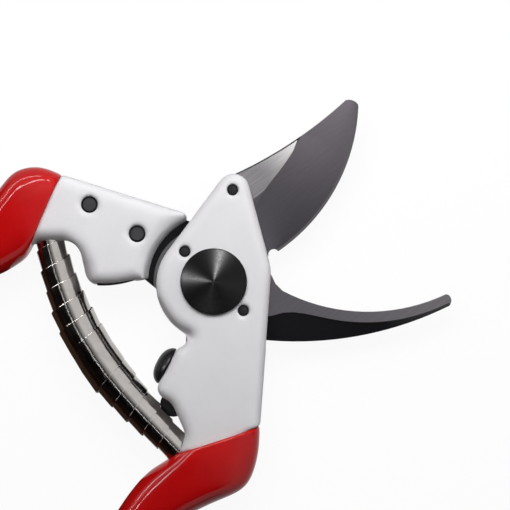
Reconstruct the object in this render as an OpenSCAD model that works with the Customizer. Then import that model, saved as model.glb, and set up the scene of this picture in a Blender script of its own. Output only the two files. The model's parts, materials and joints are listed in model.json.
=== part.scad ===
// Bypass pruning shears with forged light-alloy handles, dipped grips, a hollow-ground
// cutting blade, a hooked counter blade and a double volute spring.
// Millimetres. The pivot axis is Z, the shears lie on z = 0 and the jaws point along +X.
// Each half is drawn in its closed position and then swung out by half of the opening.

/* [Pose] */
// Angle between the two halves from fully open to fully closed
opening = 54; // [50:1:56]

/* [Handles] */
// Thickness of the grips where they are fattest; they lie on z = 0
grip_t = 18.6; // [17:0.2:21]
// Thickness of the forged handles
forging_t = 14; // [13:0.2:15]
// Radius that rounds the long edges of the forgings
forging_edge_r = 3; // [1.5:0.25:3.5]
// Wall of the dipped grip over the forged core
grip_wall = 1.8; // [1.2:0.1:2.6]
// Distance from the pivot to the ends of the handles
handle_reach = 147; // [138:1:165]
// Radius of the round head that covers the pivot on the blade handle
head_r = 16.4; // [15.5:0.1:17]
// Thickness of that head above the blade
head_t = 4.1; // [3.4:0.1:5]
// Radius of the hollow round wall of the hook handle at its foot
wall_r = 19; // [18.2:0.1:19.6]
// Distance by which that wall leans back up to the face
wall_lean = 2.4; // [1:0.1:3]

/* [Blades] */
// Distance from the pivot to the tip of the cutting blade
blade_reach = 66.9; // [62:0.1:72]
// Thickness of the cutting blade at its unground part
blade_t = 3.1; // [2.6:0.1:3.6]
// Thickness left along the sharpened edge
edge_t = 0.25; // [0.15:0.05:0.5]
// Radius of the convex cutting edge
cutting_r = 54.2; // [48:0.2:64]
// Depth of the step where the hollow grinding starts
grind_step = 0.5; // [0.2:0.1:0.9]
// Thickness of the hook
hook_t = 4; // [3.2:0.1:4.6]
// Radius of the hook's round boss over the pivot
boss_r = 16; // [15:0.1:16.2]
// Distance from the pivot to the tip of the hook
hook_reach = 68.5; // [64:0.1:74]
// Depth of the relief on the outer side of the hook
hook_relief = 0.8; // [0.4:0.1:1.4]

/* [Pivot] */
// Diameter of the pivot bolt's shank
bolt_d = 8; // [6:0.5:9]
// Diameter of the bolt's conical head
bolt_head_d = 19.4; // [17:0.2:22]
// Height of the conical head
bolt_head_h = 3.5; // [2.5:0.1:4.5]
// Wall of the bushing between the bolt and the blade half
bushing_wall = 1.4; // [1:0.1:2]
// Outer diameter of the toothed rim of the nut
nut_d = 17; // [15:0.2:18]
// Height of the nut
nut_h = 4.3; // [3.8:0.1:4.6]
// Thickness of the nut's closed back
nut_back_t = 0.8; // [0.5:0.1:1.2]
// Number of teeth on the nut's rim
nut_teeth = 30; // [24:1:36]
// Diameter of the washer under the nut
washer_d = 14; // [12:0.5:14.5]

/* [Rivets and pins] */
// Diameter of the rivets that hold the hook
rivet_d = 4.5; // [3.5:0.1:5]
// Width of the ring-shaped recess round each rivet head
rivet_ring = 0.45; // [0.3:0.05:0.7]
// Diameter of the pins that hold the cutting blade
pin_d = 3.3; // [2.6:0.1:3.8]
// Depth by which the pins lie below the face
pin_depth = 0.4; // [0.1:0.1:0.8]

/* [Stop] */
// Diameter of the rubber bumper's head
bumper_d = 11.5; // [9:0.5:12]
// Diameter of the bumper's shank
bumper_shank_d = 4.6; // [3:0.2:6]
// Length of the pad that meets the bumper
pad_len = 10.8; // [8:0.2:12]
// Distance by which the pad stands out of the handle's edge
pad_proud = 0.25; // [0.1:0.05:0.5]

/* [Spring] */
// Width of the spring's strip
strip_w = 6.6; // [6.2:0.1:7.2]
// Thickness of the strip
strip_t = 0.34; // [0.28:0.02:0.36]
// Outer radius of the spring at its ends
spring_end_r = 4.05; // [3.9:0.05:4.3]
// Outer radius of the spring at its middle
spring_mid_r = 6.4; // [6.2:0.05:6.8]
// Advance of one turn along the axis
spring_pitch = 5.9; // [5.6:0.05:6]
// Diameter of the pegs inside the spring's ends
peg_d = 4.6; // [3.6:0.1:5.2]
// Length of the pegs outside the handles
peg_len = 4.5; // [3:0.1:6]

/* [Latch] */
// Thickness of the latch lever
latch_t = 1.6; // [1.2:0.1:1.6]
// Angle that the lever turns from open to locked
latch_swing = 50; // [44:1:54]
// Diameter of the catch pin
catch_d = 2.6; // [2.4:0.1:3.4]

/* [Fits] */
// Gap between flat faces that slide on each other
slide_gap = 0.06; // [0.04:0.01:0.1]
// Radial gap of a pin or bolt in its bore
fit_gap = 0.03; // [0.01:0.01:0.06]
// Gap that stays between parts that move past each other
clear_gap = 0.3; // [0.2:0.05:0.5]

/* [Hidden] */
$fn = 64;

// Levels of the stack, from the back (z = 0) to the front
mid_z = grip_t / 2;
back_z = mid_z - forging_t / 2;
front_z = mid_z + forging_t / 2;
head_z = front_z - head_t;
blade_top_z = head_z - slide_gap / 2;
blade_z = blade_top_z - blade_t;
hook_top_z = blade_z - slide_gap;
hook_z = hook_top_z - hook_t;
nut_z = 0;
washer_z = nut_z + nut_h;
bolt_end_z = nut_z + nut_back_t + 0.2;

bushing_d = bolt_d + 2 * fit_gap + 2 * bushing_wall;

// Where the pieces of each half sit, in its closed position
rivet_at = [[-32.8, 27.3], [-20.2, 16.9]];
pin_at = [[26.2, 7.7], [3.8, 11.6], [-3.4, -11.6]];
stop_x = -28.5;
hook_side_edge_y = 3.3;
blade_side_edge_y = 0.3;
bumper_h = hook_side_edge_y - pad_proud - clear_gap - blade_side_edge_y;
peg_at = [[-46.2, 18.2], [-48.4, -14.1]];
peg_dir = [-85, 73];
peg_depth = 5;
latch_at = [-27, -9];
catch_at = [-24, 7.2];
thumb_at = [-37.9, -6.3];

// Plain geometry
function turned(p, a) = [p.x * cos(a) - p.y * sin(a), p.x * sin(a) + p.y * cos(a)];
function unit(v) = v / norm(v);
function left(v) = [-v.y, v.x];
function dir(a) = [cos(a), sin(a)];
function mix(a, b, t) = a + (b - a) * t;
function meet(p, u, q, v) = p + u * cross(q - p, v) / cross(u, v);
function last(v) = v[len(v) - 1];

// Points of a circular arc from p to q that bulges to the right of the way by `rise`
function arc_points(p, q, rise, steps) =
    let (half = norm(q - p) / 2, r = (half * half + rise * rise) / (2 * rise),
         centre = (p + q) / 2 + left(unit(q - p)) * (r - rise),
         a = atan2(p.y - centre.y, p.x - centre.x), sweep = 2 * asin(half / r))
    [for (i = [0:steps]) centre + r * dir(a + sweep * i / steps)];
// Pairs of points that close a strip ending at p and q with a round nose of the given depth
function rounded_nose(p, q, depth) =
    let (middle = (p + q) / 2, ahead = left(unit(p - q)) * -depth)
    [for (a = [30, 60, 80])
        [middle + (p - q) / 2 * cos(a) + ahead * sin(a), middle - (p - q) / 2 * cos(a) + ahead * sin(a)]];
function rise_of(p, q, r) = r - sqrt(r * r - pow(norm(q - p) / 2, 2));

// Point of a cubic Bezier curve
function bezier(p, t) =
    pow(1 - t, 3) * p[0] + 3 * t * pow(1 - t, 2) * p[1] + 3 * t * t * (1 - t) * p[2] + pow(t, 3) * p[3];

// Smooth curve through the rows of a list, at u = 0 to len(rows) - 1
function through(rows, u) =
    let (n = len(rows) - 1, i = min(floor(u), n - 1), t = u - i,
         a = rows[max(i - 1, 0)], b = rows[i], c = rows[i + 1], d = rows[min(i + 2, n)])
    0.5 * (2 * b + (c - a) * t + (2 * a - 5 * b + 4 * c - d) * t * t + (3 * b - a - 3 * c + d) * t * t * t);

// Outlines are lists of corners [x, y, radius, share], anticlockwise. Share is how much of
// an inset the edge from that corner to the next one takes: 1 unless given.
function edge(c, i, inset) =
    let (p = [c[i].x, c[i].y], j = (i + 1) % len(c), u = unit([c[j].x, c[j].y] - p),
         share = is_undef(c[i][3]) ? 1 : c[i][3])
    [p + inset * share * left(u), u];
function corner(c, i, inset) =
    let (a = edge(c, (i + len(c) - 1) % len(c), inset), b = edge(c, i, inset),
         p = meet(a[0], a[1], b[0], b[1]), bend = atan2(cross(a[1], b[1]), a[1] * b[1]),
         r = max(0.15, c[i][2] - sign(bend) * inset), tangent = r * tan(abs(bend) / 2),
         centre = p - tangent * a[1] + sign(bend) * r * left(a[1]),
         steps = max(1, ceil(abs(bend) / (c[i][2] > 8 ? 7.5 : 15))))
    c[i][2] == 0 ? [p] : [for (k = [0:steps])
        centre + sign(bend) * r * -left(turned(a[1], bend * k / steps))];
function outline(c, inset = 0) = [for (i = [0:len(c) - 1]) each corner(c, i, inset)];

// Triangles that fill a simple polygon, cutting off one ear at a time
function in_triangle(p, a, b, c) =
    cross(b - a, p - a) > -1e-9 && cross(c - b, p - b) > -1e-9 && cross(a - c, p - c) > -1e-9;
function is_ear(p, a, b, c, ids) =
    cross(p[b] - p[a], p[c] - p[b]) > 1e-6
    && len([for (k = ids) if (k != a && k != b && k != c && in_triangle(p[k], p[a], p[b], p[c])) k]) == 0;
function ears(p, ids, i = 0) =
    let (n = len(ids), a = ids[i % n], b = ids[(i + 1) % n], c = ids[(i + 2) % n])
    n == 3 ? [ids]
    : is_ear(p, a, b, c, ids) || i > 3 * n
        ? concat([[a, b, c]], ears(p, [for (k = ids) if (k != b) k], (i + 1) % (n - 1)))
        : ears(p, ids, i + 1);

// Side triangles between rings of n points each
function sides(rings, n) = [
    for (i = [0:rings - 2], k = [0:n - 1])
        let (m = (k + 1) % n)
        each [[i * n + k, (i + 1) * n + k, (i + 1) * n + m], [i * n + k, (i + 1) * n + m, i * n + m]]
];

// A solid from rings that are convex at both ends
module skin(rings) {
    n = len(rings[0]);
    final = (len(rings) - 1) * n;
    polyhedron([for (ring = rings) each ring],
               concat(sides(len(rings), n), [[for (k = [0:n - 1]) k]],
                      [[for (k = [n - 1:-1:0]) final + k]]));
}

// A plate of the given outline whose edges are rounded below and above
module rounded_plate(c, z0, z1, r_low, r_high, steps = 3) {
    levels = concat(
        [for (k = [0:steps]) [z0 + r_low * (1 - cos(90 * k / steps)), r_low * (1 - sin(90 * k / steps))]],
        [for (k = [steps:-1:0])
            [z1 - r_high * (1 - cos(90 * k / steps)), r_high * (1 - sin(90 * k / steps))]]);
    rings = [for (l = levels) outline(c, l[1])];
    n = len(rings[0]);
    final = (len(rings) - 1) * n;
    low = ears(rings[0], [for (k = [0:n - 1]) k]);
    high = ears(last(rings), [for (k = [0:n - 1]) k]);
    polyhedron([for (i = [0:len(rings) - 1]) each [for (p = rings[i]) [p.x, p.y, levels[i][0]]]],
               concat(sides(len(rings), n), low,
                      [for (t = high) [final + t[2], final + t[1], final + t[0]]]));
}

// Grips and the cores inside them are drawn over ribs: [inner x, y, outer x, y, thickness, squareness].
// The ribs are placed for a handle of 147 mm and stretch with it past the shoulder.
function stretched(x) = x > -62 ? x : -62 + (x + 62) * (handle_reach - 62) / 85;
function rib(x1, y1, x2, y2, t, squareness) = [stretched(x1), y1, stretched(x2), y2, t, squareness];
hook_ribs = [
    rib(-51.7, 17.6, -39.7, 37.2, 0.93, 3.4), rib(-54.0, 14.3, -46.1, 40.6, 1, 2.8),
    rib(-58.8, 11.8, -53.5, 40.2, 1, 2.5), rib(-63.4, 10.3, -60.0, 34.6, 0.96, 2.4),
    rib(-71.0, 8.7, -68.5, 27.6, 0.93, 2.3), rib(-83.0, 7.3, -82.2, 24.2, 0.92, 2.3),
    rib(-100, 6.7, -100, 24.9, 0.95, 2.3), rib(-119, 6.8, -120, 25.4, 0.95, 2.3),
    rib(-133, 7.9, -135, 23.9, 0.9, 2.3), rib(-141.5, 10, -143, 21.5, 0.72, 2.2),
    rib(-146, 13.2, -147, 18.2, 0.36, 2.1)
];
blade_ribs = [
    rib(-49.3, -14.2, -30.9, -31.8, 0.93, 3.4), rib(-53.2, -12.1, -39.3, -35.6, 1, 2.8),
    rib(-58.2, -9.3, -49.0, -36.6, 1, 2.5), rib(-64.0, -7.6, -58.0, -30.0, 0.96, 2.4),
    rib(-72.5, -6.5, -68.0, -23.6, 0.93, 2.3), rib(-84.0, -6.3, -82.2, -21.6, 0.92, 2.3),
    rib(-100, -6.4, -100, -23.4, 0.95, 2.3), rib(-119, -6.6, -120, -24.6, 0.95, 2.3),
    rib(-133, -7.7, -135, -23.4, 0.9, 2.3), rib(-141.5, -9.8, -143, -21.2, 0.72, 2.2),
    rib(-146, -13, -147, -18, 0.36, 2.1)
];
rib_points = 20;
core_start = -0.25;
core_end = 8.4;
cavity_end = 8.6;
core_stations = run(0, core_end, 22);
grip_end = len(hook_ribs) - 1;

// One ring round the handle at place u along its ribs, drawn in by `inset`
function ring(ribs, u, inset) =
    let (r = through(ribs, max(u, 0)), inner = [r[0], r[1]], outer = [r[2], r[3]],
         across = unit(outer - inner), half = norm(outer - inner) / 2 - inset,
         shift = min(u, 0) * 6 * (ribs[0][1] > 0 ? left(across) : -left(across)),
         middle = (inner + outer) / 2 + shift, tall = r[4] * grip_t / 2 - inset)
    [for (k = [0:rib_points - 1])
        let (a = 360 * (k + 0.5) / rib_points, s = 2 / r[5],
             w = half * sign(cos(a)) * pow(abs(cos(a)), s), h = tall * sign(sin(a)) * pow(abs(sin(a)), s))
        [middle.x + across.x * w, middle.y + across.y * w, mid_z + h]];
function run(from, to, steps) = [for (i = [0:steps]) from + (to - from) * i / steps];

// Rings run the same way round on both halves only if mirrored ones are reversed
module handle_skin(rings, ribs) {
    skin(ribs[0][1] < 0 ? rings : [for (r = rings) [for (k = [rib_points - 1:-1:0]) r[k]]]);
}

module core(ribs) {
    handle_skin([for (u = concat([core_start], core_stations)) ring(ribs, u, grip_wall + slide_gap)], ribs);
}

module dipped_grip(ribs) {
    handle_skin(concat(
        [ring(ribs, cavity_end, grip_wall)],
        [for (i = [len(core_stations) - 1:-1:0]) ring(ribs, core_stations[i], grip_wall)],
        [for (u = run(0, grip_end, 30)) ring(ribs, u, 0)]), ribs);
}

module in_hook_half() { rotate(-opening / 2) children(); }
module in_blade_half() { rotate(opening / 2) children(); }
module bore(at, d, z0, z1) { translate([at.x, at.y, z0]) cylinder(d = d, h = z1 - z0); }
module extruded(points, z0, z1) { translate([0, 0, z0]) linear_extrude(z1 - z0) polygon(points); }

// ---------------------------------------------------------------- hook half

// Tang of the hook under its handle; the handle's recess is the same outline, slightly larger
tang_corners = [
    [0, -10, 0], [0, 14, 0], [-3.2, 17.8, 2], [-37.2, 34, 5], [-40.6, 26.2, 5], [-36.2, 17.6, 4],
    [-27.5, 5.1, 3], [-21.7, 5.1, 1.5], [-14.6, -2.6, 2]
];
function tang_outline(grow) = outline(tang_corners, -grow);

hook_mouth = [[hook_ribs[0][0], hook_ribs[0][1]], [hook_ribs[0][2], hook_ribs[0][3]]];
hook_mouth_low = mix(hook_mouth[0], hook_mouth[1], 0.03);
hook_handle_corners = [
    [-5.3, 6, 0], [-5.3, 20.9, 1.6], [hook_mouth[1].x, hook_mouth[1].y, 0, 0],
    [hook_mouth_low.x, hook_mouth_low.y, 0], [-37.4, 18.1, 5.5],
    [-37.2, hook_side_edge_y, 5], [-12, hook_side_edge_y, 0]
];

module hook_handle() {
    color("#dcdbdd") in_hook_half() difference() {
        union() {
            rounded_plate(hook_handle_corners, back_z, front_z, forging_edge_r, forging_edge_r);
            core(hook_ribs);
        }
        // round wall that the blade half turns past
        translate([0, 0, -1]) cylinder(r = wall_r, h = hook_top_z + 1.5, $fn = 96);
        translate([0, 0, hook_top_z])
            cylinder(r1 = wall_r, r2 = wall_r + wall_lean * 1.2, h = (front_z - hook_top_z) * 1.2, $fn = 96);
        extruded(tang_outline(0.1), -1, hook_top_z + slide_gap);
        for (at = rivet_at) {
            bore(at, rivet_d + 2 * fit_gap, -1, front_z + 1);
            bore(at, rivet_d + 2 * rivet_ring, front_z - 1.2, front_z + 1);
        }
        bore(catch_at, catch_d, -1, hook_z);
        spring_peg_space(0);
        stop_pad_space();
    }
}

module hook_handle_grip() {
    color("#c8161a") in_hook_half() dipped_grip(hook_ribs);
}

module hook_rivet(i) {
    color("#3b3a3c") in_hook_half() bore(rivet_at[i], rivet_d, hook_z, front_z - 0.9);
}

module stop_pad_space() {
    translate([stop_x - pad_len / 2, hook_side_edge_y - 1, mid_z - 4]) cube([pad_len, 2.6, 8]);
}

module stop_pad() {
    color("#151517") in_hook_half()
        translate([stop_x - pad_len / 2, hook_side_edge_y - pad_proud, mid_z - 4 + slide_gap])
            cube([pad_len - slide_gap, pad_proud + 1.5, 8 - 2 * slide_gap]);
}

// The hook: a boss over the pivot, the curved beak and the tang
hook_heel = [19.6, -5.6];
hook_tip = hook_reach * dir(-11.2);
hook_inner = arc_points(hook_heel, hook_tip, rise_of(hook_heel, hook_tip, cutting_r), 18);
hook_outer_start = [11, -18.9];
hook_outer_end = hook_tip + [0.2, -3.6];
hook_outer = arc_points(hook_outer_start, hook_outer_end, 4.0, 18);
// Width of the flat band that the cutting blade passes
function band_width(t) = 2.6 + 5.5 * pow(1 - t, 11) + 0.6 * sin(180 * t);
// Pairs of points across the beak, with a round nose at its tip
beak_nose = rounded_nose(last(hook_inner), last(hook_outer), 1.1);
beak_pairs = concat([for (i = [0:18]) [hook_inner[i], hook_outer[i]]], beak_nose);
beak_sections = [
    for (i = [0:len(beak_pairs) - 1])
        let (t = min(1, i / 18), p = beak_pairs[i][0], q = beak_pairs[i][1], wide = norm(q - p),
             b = p + unit(q - p) * min(band_width(t), wide * 0.8), bl = b + unit(q - p) * min(0.25, wide * 0.06))
        [[p.x, p.y, hook_z + 1], [p.x, p.y, hook_top_z], [b.x, b.y, hook_top_z],
         [bl.x, bl.y, hook_top_z - hook_relief / 2], [q.x, q.y, hook_top_z - hook_relief - 0.6],
         [q.x, q.y, hook_z + 0.5], [b.x, b.y, hook_z]]
];
function band_edge(i) = [beak_sections[i][2].x, beak_sections[i][2].y];

module hook_blade() {
    color("#69666a") in_hook_half() difference() {
        union() {
            skin(beak_sections);
            translate([0, 0, hook_z]) cylinder(r = boss_r, h = hook_t, $fn = 96);
            extruded([[4, 4], [4, -12], band_edge(0), band_edge(1), band_edge(2), hook_inner[2], hook_inner[1],
                      hook_heel, [17.8, -3.2], [16.9, -0.4], [15.6, 3.4]], hook_z, hook_top_z);
            extruded([[4, -12], [4, -15.4], hook_outer_start, band_edge(0)], hook_z, hook_top_z - hook_relief);
            extruded(tang_outline(0), hook_z, hook_top_z);
        }
        bore([0, 0], bolt_d + 2 * fit_gap, -1, 20);
        bore(lock_screw_at, lock_screw_d, -1, 20);
        bore(catch_at, catch_d, -1, 20);
        for (at = rivet_at) bore(at, rivet_d + 2 * fit_gap, -1, 20);
    }
}

// ---------------------------------------------------------------- pivot

module pivot_bolt() {
    color("#1a1a1c") rotate_extrude($fn = 96) polygon([
        [0, bolt_end_z], [bolt_d / 2 - 0.4, bolt_end_z], [bolt_d / 2, bolt_end_z + 0.4],
        [bolt_d / 2, front_z + slide_gap],
        [bolt_head_d / 2 - 0.3, front_z + slide_gap], [bolt_head_d / 2, front_z + slide_gap + 0.3],
        [bolt_head_d / 2, front_z + 0.9], [bolt_head_d / 2 - 0.35, front_z + 1.25],
        [1.6, front_z + bolt_head_h - 0.15], [0.8, front_z + bolt_head_h], [0, front_z + bolt_head_h]
    ]);
}

module pivot_bushing() {
    color("#b08d4a") difference() {
        bore([0, 0], bushing_d, blade_z, front_z - slide_gap);
        bore([0, 0], bolt_d + 2 * fit_gap, -1, 20);
    }
}

module pivot_washer() {
    color("#a9a6a8") difference() {
        bore([0, 0], washer_d, washer_z, hook_z);
        bore([0, 0], bolt_d + 2 * fit_gap, -1, 20);
    }
}

// Teeth round a circle: outer radius r, depth, and the first and last tooth
tooth_depth = 0.8;
rim_t = 1.4;
module toothed_rim(r, count) {
    polygon([for (i = [0:count - 1])
        each [(r - tooth_depth) * dir(360 * (i - 0.3) / count), r * dir(360 * (i - 0.14) / count),
              r * dir(360 * (i + 0.14) / count), (r - tooth_depth) * dir(360 * (i + 0.3) / count)]]);
}

module pivot_nut() {
    color("#b9b8bb") rotate(lock_angle) difference() {
        union() {
            translate([0, 0, washer_z - rim_t]) linear_extrude(rim_t) toothed_rim(nut_d / 2, nut_teeth);
            intersection() {
                cylinder(d = 13.4, h = nut_h - rim_t + 0.2, $fn = 6);
                cylinder(d1 = 11.6, d2 = 11.6 + 2 * (nut_h - rim_t + 0.2), h = nut_h - rim_t + 0.2);
            }
        }
        bore([0, 0], bolt_d + 2 * fit_gap, nut_back_t, 20);
    }
}

// Toothed segment that keeps the nut from turning, and its screw in the hook
lock_direction = 158;
lock_angle = lock_direction - opening / 2;
lock_screw_r = 13.2;
lock_screw_d = 3;
lock_screw_head_d = 6;
lock_t = 1.7;
lock_screw_at = lock_screw_r * dir(lock_direction);
module lock_segment() {
    mesh_r = nut_d / 2 - tooth_depth + 0.15;
    color("#b9b8bb") rotate(lock_angle) difference() {
        translate([0, 0, hook_z - lock_t]) linear_extrude(lock_t) difference() {
            union() {
                polygon(concat([for (a = [-44:8:44]) (nut_d / 2 + 3.2) * dir(a)],
                               [for (a = [44:-8:-44]) (nut_d / 2 - 0.5) * dir(a)]));
                translate([lock_screw_r, 0]) circle(d = 9.4);
                polygon([[nut_d / 2, -6.4], [lock_screw_r, -4.7], [lock_screw_r, 4.7], [nut_d / 2, 6.4]]);
            }
            circle(r = mesh_r);
            for (i = [-4:4]) rotate(360 * i / nut_teeth) polygon([
                [mesh_r - 1, -0.75], [nut_d / 2 + 0.2, -0.42], [nut_d / 2 + 0.2, 0.42], [mesh_r - 1, 0.75]]);
        }
        bore([lock_screw_r, 0], lock_screw_d + 2 * fit_gap, -1, 20);
    }
}

module lock_screw() {
    color("#8d8b8e") rotate(lock_angle) difference() {
        union() {
            bore([lock_screw_r, 0], lock_screw_d - 2 * fit_gap, hook_z - lock_t, hook_top_z - 0.4);
            bore([lock_screw_r, 0], lock_screw_head_d, hook_z - lock_t - 0.9, hook_z - lock_t);
        }
        translate([lock_screw_r - 4, -0.4, 0]) cube([8, 0.8, hook_z - lock_t - 0.5]);
    }
}

// ---------------------------------------------------------------- blade half

blade_mouth = [[blade_ribs[0][0], blade_ribs[0][1]], [blade_ribs[0][2], blade_ribs[0][3]]];
blade_mouth_low = mix(blade_mouth[0], blade_mouth[1], 0.02);
blade_handle_corners = [
    [36.9, 10.8, 4.8], [-18.4, 19.4, head_r], [-17.5, blade_side_edge_y - 1.6, 1.8],
    [-21.0, blade_side_edge_y - 1.4, 2], [-22.6, blade_side_edge_y, 1.5], [-37.2, blade_side_edge_y, 3.2],
    [-37.0, -5.6, 5], [-43.4, -13.8, 4], [blade_mouth_low.x, blade_mouth_low.y, 0, 0],
    [blade_mouth[1].x, blade_mouth[1].y, 0], [-10, -22.6, 60], [11.2, -13.2, 12]
];
blade_recess = [
    [-12.6, -14], [-8.4, -24.5], [-4, -45], [60, -45], [60, 45], [-12.6, 45]
];

module blade_handle() {
    color("#e2e1e3") in_blade_half() difference() {
        union() {
            rounded_plate(blade_handle_corners, back_z, front_z, forging_edge_r, forging_edge_r);
            core(blade_ribs);
        }
        // room for the blade and the hook's boss behind the head
        translate([0, 0, -1]) cylinder(r = wall_r + 0.4, h = head_z + 1, $fn = 96);
        extruded(blade_recess, -1, head_z);
        bore([0, 0], bushing_d + 2 * fit_gap, -1, 20);
        for (at = pin_at) bore(at, pin_d, -1, 20);
        bore(latch_at, latch_rivet_d, -1, back_z + latch_rivet_depth + 0.3);
        bumper_shank_space();
        spring_peg_space(1);
    }
}

module blade_handle_grip() {
    // the dip leaves the foot of the spring's peg free
    color("#c8161a") in_blade_half() difference() {
        dipped_grip(blade_ribs);
        at_peg(1) translate([0, 0, -peg_depth - 0.5]) cylinder(d = peg_d - 1 + 4 * fit_gap, h = 2 * peg_depth);
    }
}

module blade_pin(i) {
    color("#151517") in_blade_half()
        bore(pin_at[i], pin_d - 2 * fit_gap, blade_z + 0.1, front_z - pin_depth);
}

// The cutting blade: an unground plate under the head, and the hollow-ground leaf
blade_heel = [16.8, -12.6];
blade_tip = (blade_reach - 0.3) * dir(-11.6);
blade_edge = arc_points(blade_heel, blade_tip, rise_of(blade_heel, blade_tip, cutting_r), 20);
spine_start = [29.5, 10.3];
spine_end = blade_tip + [-0.8, 4.5];
grind_end = 0.62;
function spine(t) = mix(spine_start, spine_end, t) + left(unit(spine_end - spine_start)) * -1.6 * 4 * t * (1 - t);
function grind_start(t) =
    t < grind_end ? bezier([[12.5, -9.5], [24, 6.5], [32, -3.5], spine(0.6)], t / grind_end)
                  : spine(0.6 + 0.4 * (t - grind_end) / (1 - grind_end));
function leaf_t(t) = blade_t - (t < grind_end ? 0 : (t - grind_end) / (1 - grind_end) * blade_t * 0.45);
// Height of the hollow grinding at share s of the way from its start to the edge
function hollow(t, s) =
    mix(leaf_t(t) - grind_step, edge_t, s) - 0.55 * (leaf_t(t) - grind_step) * 4 * s * (1 - s) * 0.55;
blade_nose = rounded_nose(spine(1), last(blade_edge), 1.3);
blade_blank = concat(
    [for (t = [0:0.1:1]) spine(t)], [for (pair = blade_nose) pair[0]],
    [for (k = [len(blade_nose) - 1:-1:0]) blade_nose[k][1]], [for (k = [20:-1:0]) blade_edge[k]],
    [[12.5, -9.5], [0, -8], [0, 14.6], [12, 14], [26.4, 11.9]]);

// What the grinding takes away: its sections run from the start of the grinding past the edge
past = 1;
shares = [0, 0.25, 0.5, 0.75, 1];
function grind_section(from, to, t) =
    let (out = unit(to - from), top = blade_top_z + past,
         start = from - (t < grind_end ? 0 : past) * out, beyond = to + past * out)
    concat([[start.x, start.y, top]],
           [for (s = shares) let (p = mix(start, to, s)) [p.x, p.y, blade_z + hollow(t, s)]],
           [[beyond.x, beyond.y, blade_z + edge_t], [beyond.x, beyond.y, top]]);
heel_behind = 1.2 * unit(blade_edge[0] - blade_edge[1]);
tip_ahead = 4 * unit(last(blade_edge) - blade_edge[19]);
module grinding() {
    sections = concat(
        [grind_section(grind_start(0) + heel_behind, blade_edge[0] + heel_behind, 0)],
        [for (i = [0:20]) grind_section(grind_start(i / 20), blade_edge[i], i / 20)],
        [grind_section(spine(1) + tip_ahead, last(blade_edge) + tip_ahead, 1)]);
    n = len(sections[0]);
    final = (len(sections) - 1) * n;
    // end faces are fans from the upper outer corner, which sees every other point
    polyhedron([for (s = sections) each s],
               concat([for (f = sides(len(sections), n)) [f[2], f[1], f[0]]],
                      [for (k = [0:n - 3]) [k + 1, k, n - 1]],
                      [for (k = [0:n - 3]) [final + k, final + k + 1, final + n - 1]]));
}

module cutting_blade() {
    color("#5b585b") in_blade_half() difference() {
        union() {
            extruded(blade_blank, blade_z, blade_top_z);
            translate([0, 0, blade_z]) cylinder(r = head_r - 1, h = blade_t, $fn = 96);
        }
        grinding();
        // small round notch at the heel
        bore([15.2, -11.8], 3.2, -1, 20);
        bore([0, 0], bushing_d + 2 * fit_gap, -1, 20);
        for (at = pin_at) bore(at, pin_d, -1, 20);
    }
}

// Rubber bumper: a low dome on the edge of the blade handle and a shank in its bore
module on_stop_edge() {
    translate([stop_x, blade_side_edge_y, mid_z]) rotate([-90, 0, 0]) children();
}
module bumper_shank_space() { on_stop_edge() translate([0, 0, -9]) cylinder(d = bumper_shank_d, h = 12); }
module bumper() {
    dome_r = (pow(bumper_d / 2, 2) + pow(bumper_h, 2)) / (2 * bumper_h);
    rise = asin(bumper_d / 2 / dome_r);
    color("#151517") in_blade_half() on_stop_edge() rotate_extrude($fn = 64) polygon(concat(
        [[0, -8.5], [bumper_shank_d / 2 - fit_gap, -8.5], [bumper_shank_d / 2 - fit_gap, slide_gap],
         [bumper_d / 2, slide_gap]],
        [for (k = [1:8]) (dome_r * [sin(rise * (1 - k / 8)), cos(rise * (1 - k / 8))]) + [0, bumper_h - dome_r]]));
}

// ---------------------------------------------------------------- spring

// Pegs that the spring's ends sit on: i = 0 on the hook handle, 1 on the blade handle
module at_peg(i) {
    translate([peg_at[i].x, peg_at[i].y, mid_z]) rotate([0, 90, peg_dir[i]]) children();
}
module spring_peg_space(i) { at_peg(i) translate([0, 0, -peg_depth]) cylinder(d = peg_d - 1, h = 2 * peg_depth); }
module spring_peg(i) {
    color("#cfced1") rotate((i == 0 ? -1 : 1) * opening / 2) at_peg(i) rotate_extrude($fn = 48) polygon([
        [0, 0.3 - peg_depth], [peg_d / 2 - 0.5 - fit_gap, 0.3 - peg_depth], [peg_d / 2 - 0.5 - fit_gap, 0.7],
        [peg_d / 2, 0.7], [peg_d / 2, peg_len - 1], [peg_d / 2 - 1, peg_len], [0, peg_len]
    ]);
}

// Axis of the spring in the open position: it leaves both pegs along their own directions
spring_lift = 0.8;
seat_1 = turned(peg_at[0] + spring_lift * dir(peg_dir[0]), -opening / 2);
seat_2 = turned(peg_at[1] + spring_lift * dir(peg_dir[1]), opening / 2);
spring_bow = norm(seat_2 - seat_1) * 0.42;
spring_axis = [
    seat_1, seat_1 + spring_bow * dir(peg_dir[0] - opening / 2),
    seat_2 + spring_bow * dir(peg_dir[1] + opening / 2), seat_2
];
axis_steps = 40;
axis_marks = [for (i = [0:axis_steps]) bezier(spring_axis, i / axis_steps)];
function way(i) = i == 0 ? 0 : norm(axis_marks[i] - axis_marks[i - 1]) + way(i - 1);
axis_ways = [for (i = [0:axis_steps]) way(i)];
spring_len = last(axis_ways);
// Share t of the axis at which length s along it lies
function share_at(s) =
    let (i = max([for (k = [0:axis_steps - 1]) if (axis_ways[k] <= s + 1e-6) k]))
    (i + (s - axis_ways[i]) / (axis_ways[i + 1] - axis_ways[i])) / axis_steps;
function axis_point(s) = bezier(spring_axis, share_at(max(0, min(spring_len, s))));
function axis_dir(s) = unit(axis_point(min(s + 0.5, spring_len)) - axis_point(max(s - 0.5, 0)));

middle_gap = 0.4;
spring_turns = 1 + (spring_len - 2 * strip_w - middle_gap) / spring_pitch;
steps_per_turn = 18;
strip_steps = floor(spring_turns * steps_per_turn);
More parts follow.
